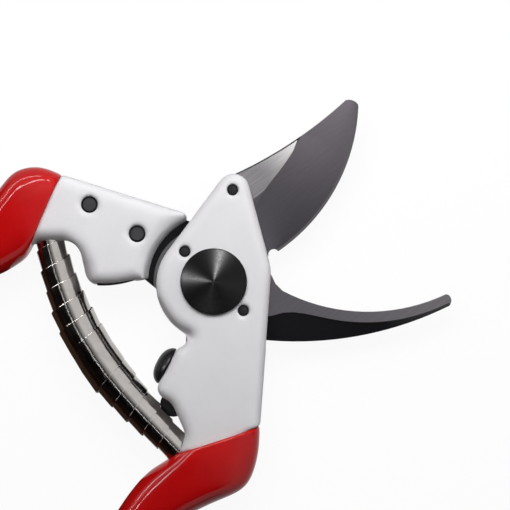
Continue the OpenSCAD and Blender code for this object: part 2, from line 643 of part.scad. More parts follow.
// Length along the axis of the strip's centre, and its outer radius, after t turns
function strip_at(t) =
    let (u = t - spring_turns / 2)
    spring_len / 2 + (abs(u) < 0.5 ? u * (strip_w + middle_gap)
                      : sign(u) * ((strip_w + middle_gap) / 2 + (abs(u) - 0.5) * spring_pitch));
function strip_r(t) =
    spring_end_r + (spring_mid_r - spring_end_r) * min(t, spring_turns - t) / (spring_turns / 2);
function on_spring(s, r, a) =
    let (p = axis_point(s), side = left(axis_dir(s)))
    [p.x + side.x * r * cos(a), p.y + side.y * r * cos(a), mid_z + r * sin(a)];

module volute_spring() {
    color("#c9c8cc") skin([
        for (i = [0:strip_steps])
            let (t = spring_turns * i / strip_steps, a = 360 * t, s = strip_at(t), r = strip_r(t))
            [on_spring(s + strip_w / 2, r - strip_t, a), on_spring(s + strip_w / 2, r, a),
             on_spring(s - strip_w / 2, r, a), on_spring(s - strip_w / 2, r - strip_t, a)]
    ]);
}

// ---------------------------------------------------------------- latch

latch_z = back_z - slide_gap - latch_t;
latch_rivet_d = 4;
latch_rivet_depth = 4.2;
latch_reach = norm(catch_at - latch_at);
latch_open_dir = atan2(catch_at.y - latch_at.y, catch_at.x - latch_at.x) - latch_swing;
thumb_dir = atan2(thumb_at.y - latch_at.y, thumb_at.x - latch_at.x);
thumb_len = norm(thumb_at - latch_at);

module latch_arm(length, w0, w1) {
    polygon([[0, -w0 / 2], [length, -w1 / 2], [length, w1 / 2], [0, w0 / 2]]);
}

module latch_lever() {
    color("#1a1a1c") in_blade_half() translate([latch_at.x, latch_at.y, latch_z]) difference() {
        linear_extrude(latch_t) difference() {
            union() {
                circle(d = 9);
                rotate(latch_open_dir) latch_arm(latch_reach, 8.6, 6);
                rotate(latch_open_dir) translate([latch_reach, 0]) circle(d = 7);
                rotate(thumb_dir) latch_arm(thumb_len, 8.6, 6.4);
                rotate(thumb_dir) translate([thumb_len, 0]) circle(d = 7.8);
            }
            // notch that swings round the catch pin
            rotate(latch_open_dir) translate([latch_reach, 0]) {
                circle(d = catch_d + 2 * clear_gap);
                translate([-catch_d / 2 - clear_gap, 0]) square([catch_d + 2 * clear_gap, 6]);
            }
        }
        bore([0, 0], latch_rivet_d + 2 * fit_gap, -1, 20);
    }
}

module latch_rivet() {
    color("#8d8b8e") in_blade_half() {
        bore(latch_at, latch_rivet_d - 2 * fit_gap, latch_z - 0.02, back_z + latch_rivet_depth);
        bore(latch_at, 7, latch_z - slide_gap - 0.45, latch_z - slide_gap);
        bore(latch_at, latch_rivet_d - 2 * fit_gap, latch_z - slide_gap - 0.2, latch_z);
    }
}

module latch_pin() {
    color("#8d8b8e") in_hook_half() bore(catch_at, catch_d - 2 * fit_gap, latch_z, hook_top_z - 0.3);
}

hook_handle();
hook_handle_grip();
hook_blade();
hook_rivet(0);  // hook_rivet_1
hook_rivet(1);  // hook_rivet_2
stop_pad();
spring_peg(0);  // spring_peg_1
pivot_bolt();
pivot_nut();
pivot_washer();
lock_segment();
lock_screw();
latch_pin();
volute_spring();
blade_handle();
blade_handle_grip();
cutting_blade();
blade_pin(0);  // blade_pin_1
blade_pin(1);  // blade_pin_2
blade_pin(2);  // blade_pin_3
pivot_bushing();
bumper();
spring_peg(1);  // spring_peg_2
latch_rivet();
latch_lever();
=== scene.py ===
"""Bypass pruning shears with red dipped grips, dressed over their CAD frame.

Lengths in the classes are in millimetres and angles in degrees. Meshes are written in metres
in the row frame: the origin lies on the pivot's axis, +Z points to the front of the shears
and +X runs along the middle of the open jaws.
"""

import json
import logging
import math
from dataclasses import dataclass, field
from enum import Enum
from typing import Callable, Iterable, Sequence, Union

import bmesh
import bpy
from mathutils import Matrix, Vector

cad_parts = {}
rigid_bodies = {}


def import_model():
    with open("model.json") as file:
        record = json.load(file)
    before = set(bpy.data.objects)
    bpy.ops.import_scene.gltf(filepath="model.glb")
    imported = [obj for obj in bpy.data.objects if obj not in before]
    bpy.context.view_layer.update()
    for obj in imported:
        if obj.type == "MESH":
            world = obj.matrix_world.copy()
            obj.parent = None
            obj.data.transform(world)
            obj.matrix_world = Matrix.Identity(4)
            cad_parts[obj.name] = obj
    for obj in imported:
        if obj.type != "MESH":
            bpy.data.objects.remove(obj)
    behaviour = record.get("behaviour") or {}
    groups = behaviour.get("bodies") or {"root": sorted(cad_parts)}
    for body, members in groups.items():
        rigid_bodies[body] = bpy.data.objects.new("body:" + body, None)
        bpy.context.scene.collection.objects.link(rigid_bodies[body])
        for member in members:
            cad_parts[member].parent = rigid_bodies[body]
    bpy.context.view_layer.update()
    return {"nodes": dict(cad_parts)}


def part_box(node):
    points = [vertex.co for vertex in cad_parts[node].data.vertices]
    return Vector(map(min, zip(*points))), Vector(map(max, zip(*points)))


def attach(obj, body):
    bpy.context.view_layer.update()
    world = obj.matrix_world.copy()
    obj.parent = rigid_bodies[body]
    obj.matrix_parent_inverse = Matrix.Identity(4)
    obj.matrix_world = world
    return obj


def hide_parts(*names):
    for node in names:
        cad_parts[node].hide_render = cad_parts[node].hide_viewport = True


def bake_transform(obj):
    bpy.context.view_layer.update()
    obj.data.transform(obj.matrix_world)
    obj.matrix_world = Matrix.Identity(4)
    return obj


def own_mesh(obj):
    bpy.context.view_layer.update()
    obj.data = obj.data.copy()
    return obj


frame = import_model()

MM = 0.001
LOG = logging.getLogger("shears")
MERGE_DISTANCE = 2e-6  # metres
LEVEL_SLACK = 0.02  # millimetres
Point = Sequence[float]
Piece = bpy.types.Object
Skin = bmesh.types.BMesh
Material = bpy.types.Material
Tree = bpy.types.NodeTree
Socket = bpy.types.NodeSocket
Value = Union[float, Sequence[float], Socket, bpy.types.ID]


class Body(Enum):
    """The bodies that pieces ride on."""

    HOOK_SIDE = "hook_side"
    BLADE_SIDE = "blade_side"
    LATCH = "latch"


class Slot(Enum):
    """The record's material slots."""

    FORGING = "forging"
    GRIP = "grip"
    HOOK = "hook_steel"
    BLADE = "blade_steel"
    RIVET = "rivet"
    BLACK = "black_steel"
    PLATED = "plated"
    SPRING = "spring_steel"
    BRONZE = "bronze"
    RUBBER = "rubber"


# ---------------------------------------------------------------- small tools


def linear(code: str) -> tuple[float, float, float, float]:
    """Turns an sRGB hex value into a linear colour.

    Args:
        code: The colour as "#rrggbb".

    Returns:
        Linear red, green, blue and an alpha of 1.
    """
    shares = [int(code[i : i + 2], 16) / 255 for i in (1, 3, 5)]
    light = [c / 12.92 if c <= 0.04045 else ((c + 0.055) / 1.055) ** 2.4 for c in shares]
    return (light[0], light[1], light[2], 1.0)


def per_metre(size: float) -> float:
    """Gives the texture scale at which one feature measures size millimetres."""
    return 1 / (size * MM)


def add_node(
    tree: Tree,
    kind: str,
    settings: dict[str, object] | None = None,
    inputs: dict[Union[str, int], Value] | None = None,
) -> bpy.types.Node:
    """Adds a node with its settings and links.

    Args:
        tree: The node tree that it goes into.
        kind: Blender's name for the kind of node.
        settings: Properties of the node to set.
        inputs: What feeds its inputs, by name or place: a value, or the socket to link.

    Returns:
        The new node.
    """
    node = tree.nodes.new(kind)
    for name, value in (settings or {}).items():
        setattr(node, name, value)
    for key, value in (inputs or {}).items():
        if isinstance(value, Socket):
            tree.links.new(value, node.inputs[key])
        else:
            node.inputs[key].default_value = value
    return node


def reckon(tree: Tree, operation: str, *terms: Value) -> Socket:
    """Adds a sum of numbers and gives its result."""
    sums = add_node(tree, "ShaderNodeMath", {"operation": operation}, dict(enumerate(terms)))
    return sums.outputs[0]


def reckon_vector(
    tree: Tree, operation: str, *terms: Value, scale: Value | None = None
) -> bpy.types.Node:
    """Adds a sum of vectors.

    Args:
        tree: The node tree that it goes into.
        operation: Blender's name for the sum.
        *terms: The vectors.
        scale: The factor, where the sum has one.

    Returns:
        The node: the result is output 0, or "Value" where it is a number.
    """
    inputs: dict[Union[str, int], Value] = dict(enumerate(terms))
    if scale is not None:
        inputs["Scale"] = scale
    return add_node(tree, "ShaderNodeVectorMath", {"operation": operation}, inputs)


def flattened(tree: Tree, place: Socket) -> Socket:
    """Gives the coordinates with a height of 0."""
    return reckon_vector(tree, "MULTIPLY", place, (1, 1, 0)).outputs[0]


def noise(tree: Tree, place: Socket, size: float, detail: float, **more: Value) -> Socket:
    """Adds a cloudy pattern.

    Args:
        tree: The node tree that it goes into.
        place: The coordinates that it reads.
        size: Size of one feature in millimetres.
        detail: How many times finer clouds are added.
        **more: Its other inputs.

    Returns:
        The pattern, which wanders about the middle of 0 to 1.
    """
    inputs = {"Vector": place, "Scale": per_metre(size), "Detail": detail, **more}
    return add_node(tree, "ShaderNodeTexNoise", inputs=inputs).outputs["Fac"]


def mix(tree: Tree, share: Value, first: Union[str, Socket], second: str) -> Socket:
    """Mixes two colours.

    Args:
        tree: The node tree that it goes into.
        share: How much of the second colour shows, 0 to 1.
        first: The first colour, as a hex value or a socket.
        second: The second colour, as a hex value.

    Returns:
        The mixed colour.
    """
    start, end = (linear(c) if isinstance(c, str) else c for c in (first, second))
    inputs = {0: share, 6: start, 7: end}
    return add_node(tree, "ShaderNodeMix", {"data_type": "RGBA"}, inputs).outputs[2]


def remap(tree: Tree, value: Socket, low: float, high: float, **more: float) -> Socket:
    """Maps a value to the range from low to high.

    Args:
        tree: The node tree that it goes into.
        value: The value.
        low: What the start of its range becomes.
        high: What the end of its range becomes.
        **more: From_Min and From_Max, where its range isn't 0 to 1.

    Returns:
        The new value.
    """
    inputs = {"Value": value, "To Min": low, "To Max": high}
    inputs.update({key.replace("_", " "): end for key, end in more.items()})
    return add_node(tree, "ShaderNodeMapRange", inputs=inputs).outputs[0]


def bump(tree: Tree, height: Socket, strength: float, depth: float) -> Socket:
    """Turns a pattern into relief.

    Args:
        tree: The node tree that it goes into.
        height: The pattern.
        strength: How strongly it shows, 0 to 1.
        depth: Depth of the relief in millimetres.

    Returns:
        The bent normal.
    """
    inputs = {"Strength": strength, "Distance": depth * MM, "Height": height}
    return add_node(tree, "ShaderNodeBump", inputs=inputs).outputs[0]


def new_material(name: str) -> tuple[Material, Tree, Socket]:
    """Makes a bare material.

    Args:
        name: Its name.

    Returns:
        The material, its tree and the coordinates of the piece that wears it.
    """
    material = bpy.data.materials.new(name)
    material.use_nodes = True
    tree = material.node_tree
    tree.nodes.clear()
    return material, tree, add_node(tree, "ShaderNodeTexCoord").outputs["Object"]


def direction(degrees: float) -> Vector:
    """Gives the flat unit vector at an angle."""
    return Vector((math.cos(math.radians(degrees)), math.sin(math.radians(degrees)), 0))


def turned(point: Point, degrees: float) -> Vector:
    """Turns a point about the pivot's axis."""
    return Matrix.Rotation(math.radians(degrees), 3, "Z") @ Vector((*point, 0)[:3])


# ---------------------------------------------------------------- finishes


@dataclass(frozen=True)
class Finish:
    """What a surface is made of and how it was made."""

    name: str
    colour: str

    def look(self, tree: Tree, place: Socket) -> dict[str, Value]:
        """Adds the finish's patterns.

        Args:
            tree: The material's tree.
            place: The piece's own coordinates.

        Returns:
            What feeds the shader's inputs, by their names.
        """
        raise NotImplementedError

    def build(self) -> Material:
        """Makes the material.

        Returns:
            The material, ready for a piece.
        """
        material, tree, place = new_material(self.name)
        shader = add_node(tree, "ShaderNodeBsdfPrincipled", inputs=self.look(tree, place))
        add_node(tree, "ShaderNodeOutputMaterial", inputs={"Surface": shader.outputs[0]})
        return material


@dataclass(frozen=True)
class BlastedForging(Finish):
    """Aluminium, drop-forged, blasted with fine shot and anodised clear.

    The shot leaves a close satin skin: pale, hardly glossy, a little uneven in tone.
    """

    name: str = "Blasted anodised aluminium"
    colour: str = "#e3e2e4"
    duller: str = "#dad8db"
    dimple: float = 0.32
    mottle: float = 7.0
    roughness: tuple[float, float] = (0.54, 0.66)

    def look(self, tree: Tree, place: Socket) -> dict[str, Value]:
        """Adds the mottled tone and the dimples.

        Args:
            tree: The material's tree.
            place: The piece's own coordinates.

        Returns:
            What feeds the shader's inputs, by their names.
        """
        cloud = noise(tree, place, self.mottle, 4.0, Roughness=0.6)
        dimples = noise(tree, place, self.dimple, 2.0)
        return {
            "Base Color": mix(tree, cloud, self.colour, self.duller),
            "Metallic": 0.0,
            "Roughness": remap(tree, cloud, *self.roughness),
            "Specular IOR Level": 0.15,
            "Normal": bump(tree, dimples, 0.25, 0.03),
        }


@dataclass(frozen=True)
class DippedVinyl(Finish):
    """PVC, put on by dipping the hot handle.

    The skin flows before it sets: wet gloss, long clean highlights and a slight waviness.
    """

    name: str = "Dipped glossy PVC"
    colour: str = "#c41113"
    thicker: str = "#ae0a0c"
    wave: float = 9.0

    def look(self, tree: Tree, place: Socket) -> dict[str, Value]:
        """Adds the waviness, which also deepens the tone.

        Args:
            tree: The material's tree.
            place: The piece's own coordinates.

        Returns:
            What feeds the shader's inputs, by their names.
        """
        wave = noise(tree, place, self.wave, 1.0)
        flowed = bump(tree, wave, 0.25, 0.05)
        return {
            "Base Color": mix(tree, wave, self.colour, self.thicker),
            "Roughness": 0.35,
            "IOR": 1.5,
            "Specular IOR Level": 0.01,
            "Coat Weight": 0.4,
            "Coat Roughness": 0.08,
            "Normal": flowed,
            "Coat Normal": flowed,
        }


@dataclass(frozen=True)
class GroundSteel(Finish):
    """Tool steel whose surface was ground or brushed in one direction.

    Fine parallel lines stretch the reflections and vary the tone from line to line.
    Line is the spacing of the lines, drawn as coarse as they need to show, and angle the
    direction in which they run. The colour fades to the lighter one between two spots; on the
    blade the fade is painted reflection and painted highlight. Where there is an edge arc, the
    steel outside it has the outer colour: the blade's own edge or ground zone, and on the hook
    painted shade in the gap beside the disc. Where there is a bearing, the steel inside its
    circle has the bearing's colour, free of that painted shade.
    """

    lighter: str = "#777278"
    metallic: float = 1.0
    roughness: float = 0.36
    line: float = 0.35
    stretch: float = 40.0
    angle: float = 0.0
    contrast: float = 0.5
    fade_from: tuple[float, float] = (0.0, 0.0)
    fade_to: tuple[float, float] = (1.0, 0.0)
    edge_centre: tuple[float, float] | None = None
    edge_radius: float = 0.0
    edge_width: float = 0.8
    # outer colour: a real edge or zone on the blade, painted shade on the hook
    outer_colour: str = "#7f7c80"
    bearing_centre: tuple[float, float] | None = None
    bearing_radius: float = 0.0
    bearing_colour: str = "#acabad"
    blur: float = 0.25
    uneven: float = 0.08

    def circle(self, tree: Tree, place: Socket, centre: Point, start: float) -> Socket:
        """Tells the steel outside a circle from the steel inside it.

        Args:
            tree: The material's tree.
            place: The piece's own coordinates.
            centre: The circle's centre in millimetres.
            start: Radius at which the change begins, in millimetres.

        Returns:
            0 inside, 1 outside.
        """
        middle = (centre[0] * MM, centre[1] * MM, 0)
        reach = reckon_vector(tree, "DISTANCE", flattened(tree, place), middle)
        ends = {"From_Min": start * MM, "From_Max": (start + self.blur) * MM}
        return remap(tree, reach.outputs["Value"], 0.0, 1.0, **ends)

    def faded(self, tree: Tree, place: Socket) -> Socket:
        """Fades the colour along its way to the lighter one.

        Args:
            tree: The material's tree.
            place: The piece's own coordinates.

        Returns:
            The faded colour.
        """
        start, end = Vector(self.fade_from) * MM, Vector(self.fade_to) * MM
        way = end - start
        slope = (*(way / way.length_squared), 0)
        share = reckon_vector(tree, "DOT_PRODUCT", place, slope).outputs["Value"]
        offset = start.dot(way) / way.length_squared
        fade = add_node(
            tree,
            "ShaderNodeMapRange",
            {"interpolation_type": "SMOOTHSTEP"},
            {"Value": share, "From Min": offset, "From Max": offset + 1},
        )
        return mix(tree, fade.outputs[0], self.colour, self.lighter)

    def look(self, tree: Tree, place: Socket) -> dict[str, Value]:
        """Adds the grinding lines and the zones.

        Args:
            tree: The material's tree.
            place: The piece's own coordinates.

        Returns:
            What feeds the shader's inputs, by their names.
        """
        along = add_node(
            tree,
            "ShaderNodeMapping",
            inputs={
                "Vector": place,
                "Rotation": (0, 0, -math.radians(self.angle)),
                "Scale": (1 / self.stretch, 1, 0.2),
            },
        )
        lines = noise(tree, along.outputs[0], self.line, 3.0)
        half = self.contrast / 2
        streak = remap(tree, lines, 1 - half, 1 + half, From_Min=0.3, From_Max=0.7)
        brushed = reckon_vector(tree, "SCALE", self.faded(tree, place), scale=streak)
        colour = brushed.outputs[0]
        # outside the edge arc the steel takes the outer colour, which on the hook is painted shade
        if self.edge_centre:
            start = self.edge_radius - self.edge_width
            outside = self.circle(tree, place, self.edge_centre, start)
            colour = mix(tree, outside, colour, self.outer_colour)
        if self.bearing_centre:
            start = self.bearing_radius - self.blur
            outside = self.circle(tree, place, self.bearing_centre, start)
            inside = reckon(tree, "SUBTRACT", 1.0, outside)
            colour = mix(tree, inside, colour, self.bearing_colour)
        return {
            "Base Color": colour,
            "Metallic": self.metallic,
            "Roughness": remap(
                tree, lines, self.roughness - self.uneven, self.roughness + self.uneven
            ),
            "Normal": bump(tree, lines, 0.3, 0.01),
        }


@dataclass(frozen=True)
class TurnedBlack(Finish):
    """Steel, faced on a lathe and blackened.

    The tool's rings stay visible: each lamp draws one narrow streak from the rim to the middle.
    """

    name: str = "Turned blackened steel"
    colour: str = "#040405"
    ring: float = 0.3
    speck: float = 0.5
    roughness: float = 0.36
    uneven: float = 0.12

    def look(self, tree: Tree, place: Socket) -> dict[str, Value]:
        """Adds the rings, and the tangent that draws the streaks.

        Args:
            tree: The material's tree.
            place: The piece's own coordinates.

        Returns:
            What feeds the shader's inputs, by their names.
        """
        flat = flattened(tree, place)
        tangent = add_node(
            tree,
            "ShaderNodeVectorTransform",
            {"vector_type": "VECTOR", "convert_from": "OBJECT", "convert_to": "WORLD"},
            {0: flat},
        )
        radius = reckon_vector(tree, "LENGTH", flat).outputs["Value"]
        rings = add_node(
            tree,
            "ShaderNodeTexNoise",
            {"noise_dimensions": "1D"},
            {"W": radius, "Scale": per_metre(self.ring), "Detail": 2.0},
        ).outputs["Fac"]
        pattern = reckon(tree, "MULTIPLY", rings, noise(tree, place, self.speck, 2.0))
        low, high = self.roughness - self.uneven, self.roughness + self.uneven
        return {
            "Base Color": linear(self.colour),
            "Metallic": 0.0,
            "Roughness": remap(tree, pattern, low, high, From_Max=0.5),
            "Anisotropic": 0.8,
            "Specular IOR Level": 0.15,
            "Tangent": tangent.outputs[0],
            "Normal": bump(tree, rings, 0.35, 0.012),
        }


@dataclass(frozen=True)
class SpeckledSkin(Finish):
    """A plain skin with a fine grain: oxide, plating, rubber or enamel.

    Grain breaks the highlight, and tone and gloss wander a little over the wander length.
    """

    darker: str = "#000000"
    metallic: float = 0.0
    roughness: float = 0.4
    specular: float = 0.25
    coat: float = 0.0
    grain: float = 0.4
    depth: float = 0.01
    wander: float = 5.0
    uneven: float = 0.1
    glossiest: float = 0.04

    def look(self, tree: Tree, place: Socket) -> dict[str, Value]:
        """Adds the grain and the wandering tone.

        Args:
            tree: The material's tree.
            place: The piece's own coordinates.

        Returns:
            What feeds the shader's inputs, by their names.
        """
        wander = noise(tree, place, self.wander, 3.0)
        grain = noise(tree, place, self.grain, 2.0)
        low = max(self.glossiest, self.roughness - self.uneven)
        return {
            "Base Color": mix(tree, wander, self.colour, self.darker),
            "Metallic": self.metallic,
            "Roughness": remap(tree, wander, low, self.roughness + self.uneven),
            "Specular IOR Level": self.specular,
            "Coat Weight": self.coat,
            "Coat Roughness": 0.12,
            "Normal": bump(tree, grain, 0.4, self.depth),
        }


# ---------------------------------------------------------------- making meshes


def merged_copy(node: str) -> Skin:
    """Copies a CAD node's mesh with its loose triangles joined into one skin.

    Args:
        node: Name of the CAD node.

    Returns:
        The joined copy, in metres in the row frame.
    """
    skin = bmesh.new()
    skin.from_mesh(frame["nodes"][node].data)
    bmesh.ops.remove_doubles(skin, verts=skin.verts, dist=MERGE_DISTANCE)
    return skin


def lathe(profile: Sequence[Point], steps: int, stand: Matrix) -> Skin:
    """Turns a profile about an axis.

    Args:
        profile: (radius, height) from the axis below to the axis above, in millimetres.
        steps: Number of faces round the axis.
        stand: Where the axis stands: its Z is the axis, in metres.

    Returns:
        The closed turned skin.
    """
    skin = bmesh.new()
    rings = []
    for radius, height in profile:
        if radius == 0:
            rings.append([skin.verts.new((0, 0, height * MM))])
            continue
        spots = [direction(360 * k / steps) * radius * MM for k in range(steps)]
        rings.append([skin.verts.new((s.x, s.y, height * MM)) for s in spots])
    for low, high in zip(rings, rings[1:]):
        for k in range(steps):
            corners = [low[k % len(low)], low[(k + 1) % len(low)]]
            corners += [high[(k + 1) % len(high)], high[k % len(high)]]
            skin.faces.new(list(dict.fromkeys(corners)))
    bmesh.ops.recalc_face_normals(skin, faces=skin.faces)
    bmesh.ops.transform(skin, matrix=stand, verts=skin.verts)
    return skin


def new_object(name: str, skin: Skin, materials: Iterable[Material]) -> Piece:
    """Makes an object of a skin, which is used up.

    Args:
        name: Name of the piece.
        skin: Its mesh, in metres in the row frame.
        materials: Its materials, in the order of the faces' indices.

    Returns:
        The new object, at the origin.
    """
    mesh = bpy.data.meshes.new(name)
    skin.to_mesh(mesh)
    skin.free()
    for material in materials:
        mesh.materials.append(material)
    piece = bpy.data.objects.new(name, mesh)
    bpy.context.scene.collection.objects.link(piece)
    return piece


def settle(piece: Piece) -> None:
    """Makes what a piece's modifiers show its own plain mesh, and drops the modifiers.

    Args:
        piece: The piece.
    """
    graph = bpy.context.evaluated_depsgraph_get()
    graph.update()
    shown = bpy.data.meshes.new_from_object(
        piece.evaluated_get(graph), preserve_all_data_layers=True, depsgraph=graph
    )
    piece.modifiers.clear()
    before, piece.data = piece.data, shown
    bpy.data.meshes.remove(before)


def shade(skin: Skin, sharp: float) -> None:
    """Shades a skin smooth but for its sharp edges.

    Args:
        skin: The skin.
        sharp: Least bend in degrees of an edge that stays sharp.
    """
    limit = math.radians(sharp)
    for face in skin.faces:
        face.smooth = True
    for edge in skin.edges:
        edge.smooth = len(edge.link_faces) != 2 or edge.calc_face_angle(0.0) < limit


def refined(
    name: str,
    node: str,
    materials: Sequence[Material],
    bevel: float = 0.0,
    sharp: float = 32.0,
    sort: Callable[[bmesh.types.BMFace], int] | None = None,
) -> Piece:
    """Dresses a copy of a CAD node: joined, its hard edges broken, evenly shaded.

    Args:
        name: Name of the piece.
        node: The CAD node that it is copied from.
        materials: Its materials.
        bevel: Width of the broken edges in millimetres, or 0 for none.
        sharp: Least bend in degrees of an edge that is broken or kept sharp.
        sort: Gives the index of the material for a face.

    Returns:
        The finished piece.
    """
    skin = merged_copy(node)
    if bevel:
        bmesh.ops.dissolve_limit(
            skin, angle_limit=math.radians(0.5), verts=skin.verts, edges=skin.edges
        )
    for face in skin.faces:
        face.material_index = sort(face) if sort else 0
    shade(skin, sharp)
    piece = new_object(name, skin, materials)
    if bevel:
        edges = piece.modifiers.new("Broken edges", "BEVEL")
        edges.width = bevel * MM
        edges.segments = 3
        edges.limit_method = "ANGLE"
        edges.angle_limit = math.radians(sharp)
    even = piece.modifiers.new("Even shading", "WEIGHTED_NORMAL")
    even.keep_sharp = not bevel
    settle(piece)
    return piece


def seat(piece: Piece, body: Body, slot: Slot, *nodes: str) -> None:
    """Puts a finished piece on its body and reports it.

    Args:
        piece: The piece, in place.
        body: What it rides on.
        slot: The record's slot that its finish comes from; not used.
        *nodes: The CAD nodes that it stands for.
    """
    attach(piece, body.value)
    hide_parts(*nodes)
    LOG.info("%s: %d faces, on %s", piece.name, len(piece.data.polygons), body.value)


def dress(name: str, node: str, body: Body, slot: Slot, material: Material, bevel: float) -> None:
    """Dresses a CAD node in one finish, with its edges broken by bevel, and seats the piece."""
    seat(refined(name, node, [material], bevel), body, slot, node)


# ---------------------------------------------------------------- sub-assemblies


@dataclass(frozen=True)
class Rounding:
    """A stretch of a forging's front edge that is rounded off widely.

    The stretch follows points (x, y). The rounding takes in width and goes down by depth, where
    it may end on a narrow ledge.
    """

    points: tuple[tuple[float, float], ...]
    width: float
    depth: float
    ledge: float = 0.0

    def drop(self, spot: Vector) -> float:
        """Tells how far the skin goes down at a spot.

        Args:
            spot: The spot, in millimetres.

        Returns:
            The drop in millimetres.
        """
        reach = math.inf
        flat = spot.to_2d()
        for start, end in zip(self.points, self.points[1:]):
            a, way = Vector(start), Vector(end) - Vector(start)
            share = max(0.0, min(1.0, (flat - a).dot(way) / way.length_squared))
            reach = min(reach, (a + way * share - flat).length)
        inward = min(1.0, max(0.0, (reach - self.ledge) / self.width))
        return self.depth * (1 - math.sqrt(1 - (1 - inward) ** 2))


@dataclass
class Handles:
    """The two forged handles and the grips dipped over their ends."""

    voxel: float = 0.42
    soften: int = 26
    forging: Finish = field(default_factory=BlastedForging)
    vinyl: Finish = field(default_factory=DippedVinyl)
    material: Material | None = None
    thumb_hollow: Rounding = Rounding(
        ((-37.5, 38.9), (-36.0, 38.9), (-29.7, 34.7), (-28.1, 30.2), (-28.8, 25.7), (-30.3, 22.0)),
        width=4.4,
        depth=8.0,
    )
    arc_shoulder: Rounding = Rounding(
        ((3.5, 19.2), (-1.5, 19.2), (-6.3, 17.9), (-11.0, 15.7), (-14.4, 12.7), (-15.4, 11.8)),
        width=5.2,
        depth=7.5,
    )
    nose_underside: Rounding = Rounding(
        ((-30.3, 22.0), (-28.9, 19.3), (-27.1, 17.8), (-24.1, 15.9), (-20.9, 14.4), (-17.6, 12.9)),
        width=4.0,
        depth=5.0,
    )
    disc_shoulder: Rounding = Rounding(
        ((-17.0, 10.6), (-17.2, 5.8), (-17.7, 1.6), (-17.7, -2.2), (-17.0, -5.6), (-15.4, -8.5)),
        width=3.0,
        depth=3.6,
        ledge=0.9,
    )
    outer_chamfer: Rounding = Rounding(
        ((17.4, -2.6), (14.7, -8.6), (12.1, -11.6), (2.6, -22.9), (-13.0, -42.1)),
        width=3.8,
        depth=1.5,
    )

    def forge(self, name: str, node: str, body: Body, roundings: Sequence[Rounding]) -> None:
        """Makes one forging, whose faces run softly into each other.

        Args:
            name: Name of the piece.
            node: The CAD node that it stands for.
            body: What it rides on.
            roundings: Where its front edge is rounded off more widely.
        """
        piece = new_object(name, merged_copy(node), [self.material])
        skin = piece.modifiers.new("Forged skin", "REMESH")
        skin.mode = "VOXEL"
        skin.voxel_size = self.voxel * MM
        skin.use_smooth_shade = True
        settle(piece)
        for rounding in roundings:
            drops = [(corner, rounding.drop(corner.co / MM)) for corner in piece.data.vertices]
            near = [(corner, drop) for corner, drop in drops if drop > 0]
            top = max(corner.co.z for corner, drop in near)
            for corner, drop in near:
                corner.co.z = min(corner.co.z, top - drop * MM)
        soft = piece.modifiers.new("Blasted edges", "SMOOTH")
        soft.factor = 0.5
        soft.iterations = self.soften
        settle(piece)
        seat(piece, body, Slot.FORGING, node)

    def dip(self, name: str, node: str, body: Body) -> None:
        """Makes one grip: a smooth skin of vinyl with a rounded lip.

        Args:
            name: Name of the piece.
            node: The CAD node that it stands for.
            body: What it rides on.
        """
        skin = merged_copy(node)
        bmesh.ops.join_triangles(
            skin,
            faces=skin.faces,
            angle_face_threshold=math.radians(40),
            angle_shape_threshold=math.radians(60),
        )
        for face in skin.faces:
            face.smooth = True
        piece = new_object(name, skin, [self.vinyl.build()])
        flow = piece.modifiers.new("Flowed skin", "SUBSURF")
        flow.levels = flow.render_levels = 2
        settle(piece)
        seat(piece, body, Slot.GRIP, node)

    def build(self) -> None:
        """Makes both handles with their grips."""
        self.material = self.forging.build()
        self.forge(
            "Hook_handle_forging",
            "hook_handle",
            Body.HOOK_SIDE,
            [self.thumb_hollow, self.nose_underside, self.arc_shoulder],
        )
        self.forge(
            "Blade_handle_forging",
            "blade_handle",
            Body.BLADE_SIDE,
            [self.disc_shoulder, self.outer_chamfer],
        )
        self.dip("Hook_handle_dip", "hook_handle_grip", Body.HOOK_SIDE)
        self.dip("Blade_handle_dip", "blade_handle_grip", Body.BLADE_SIDE)


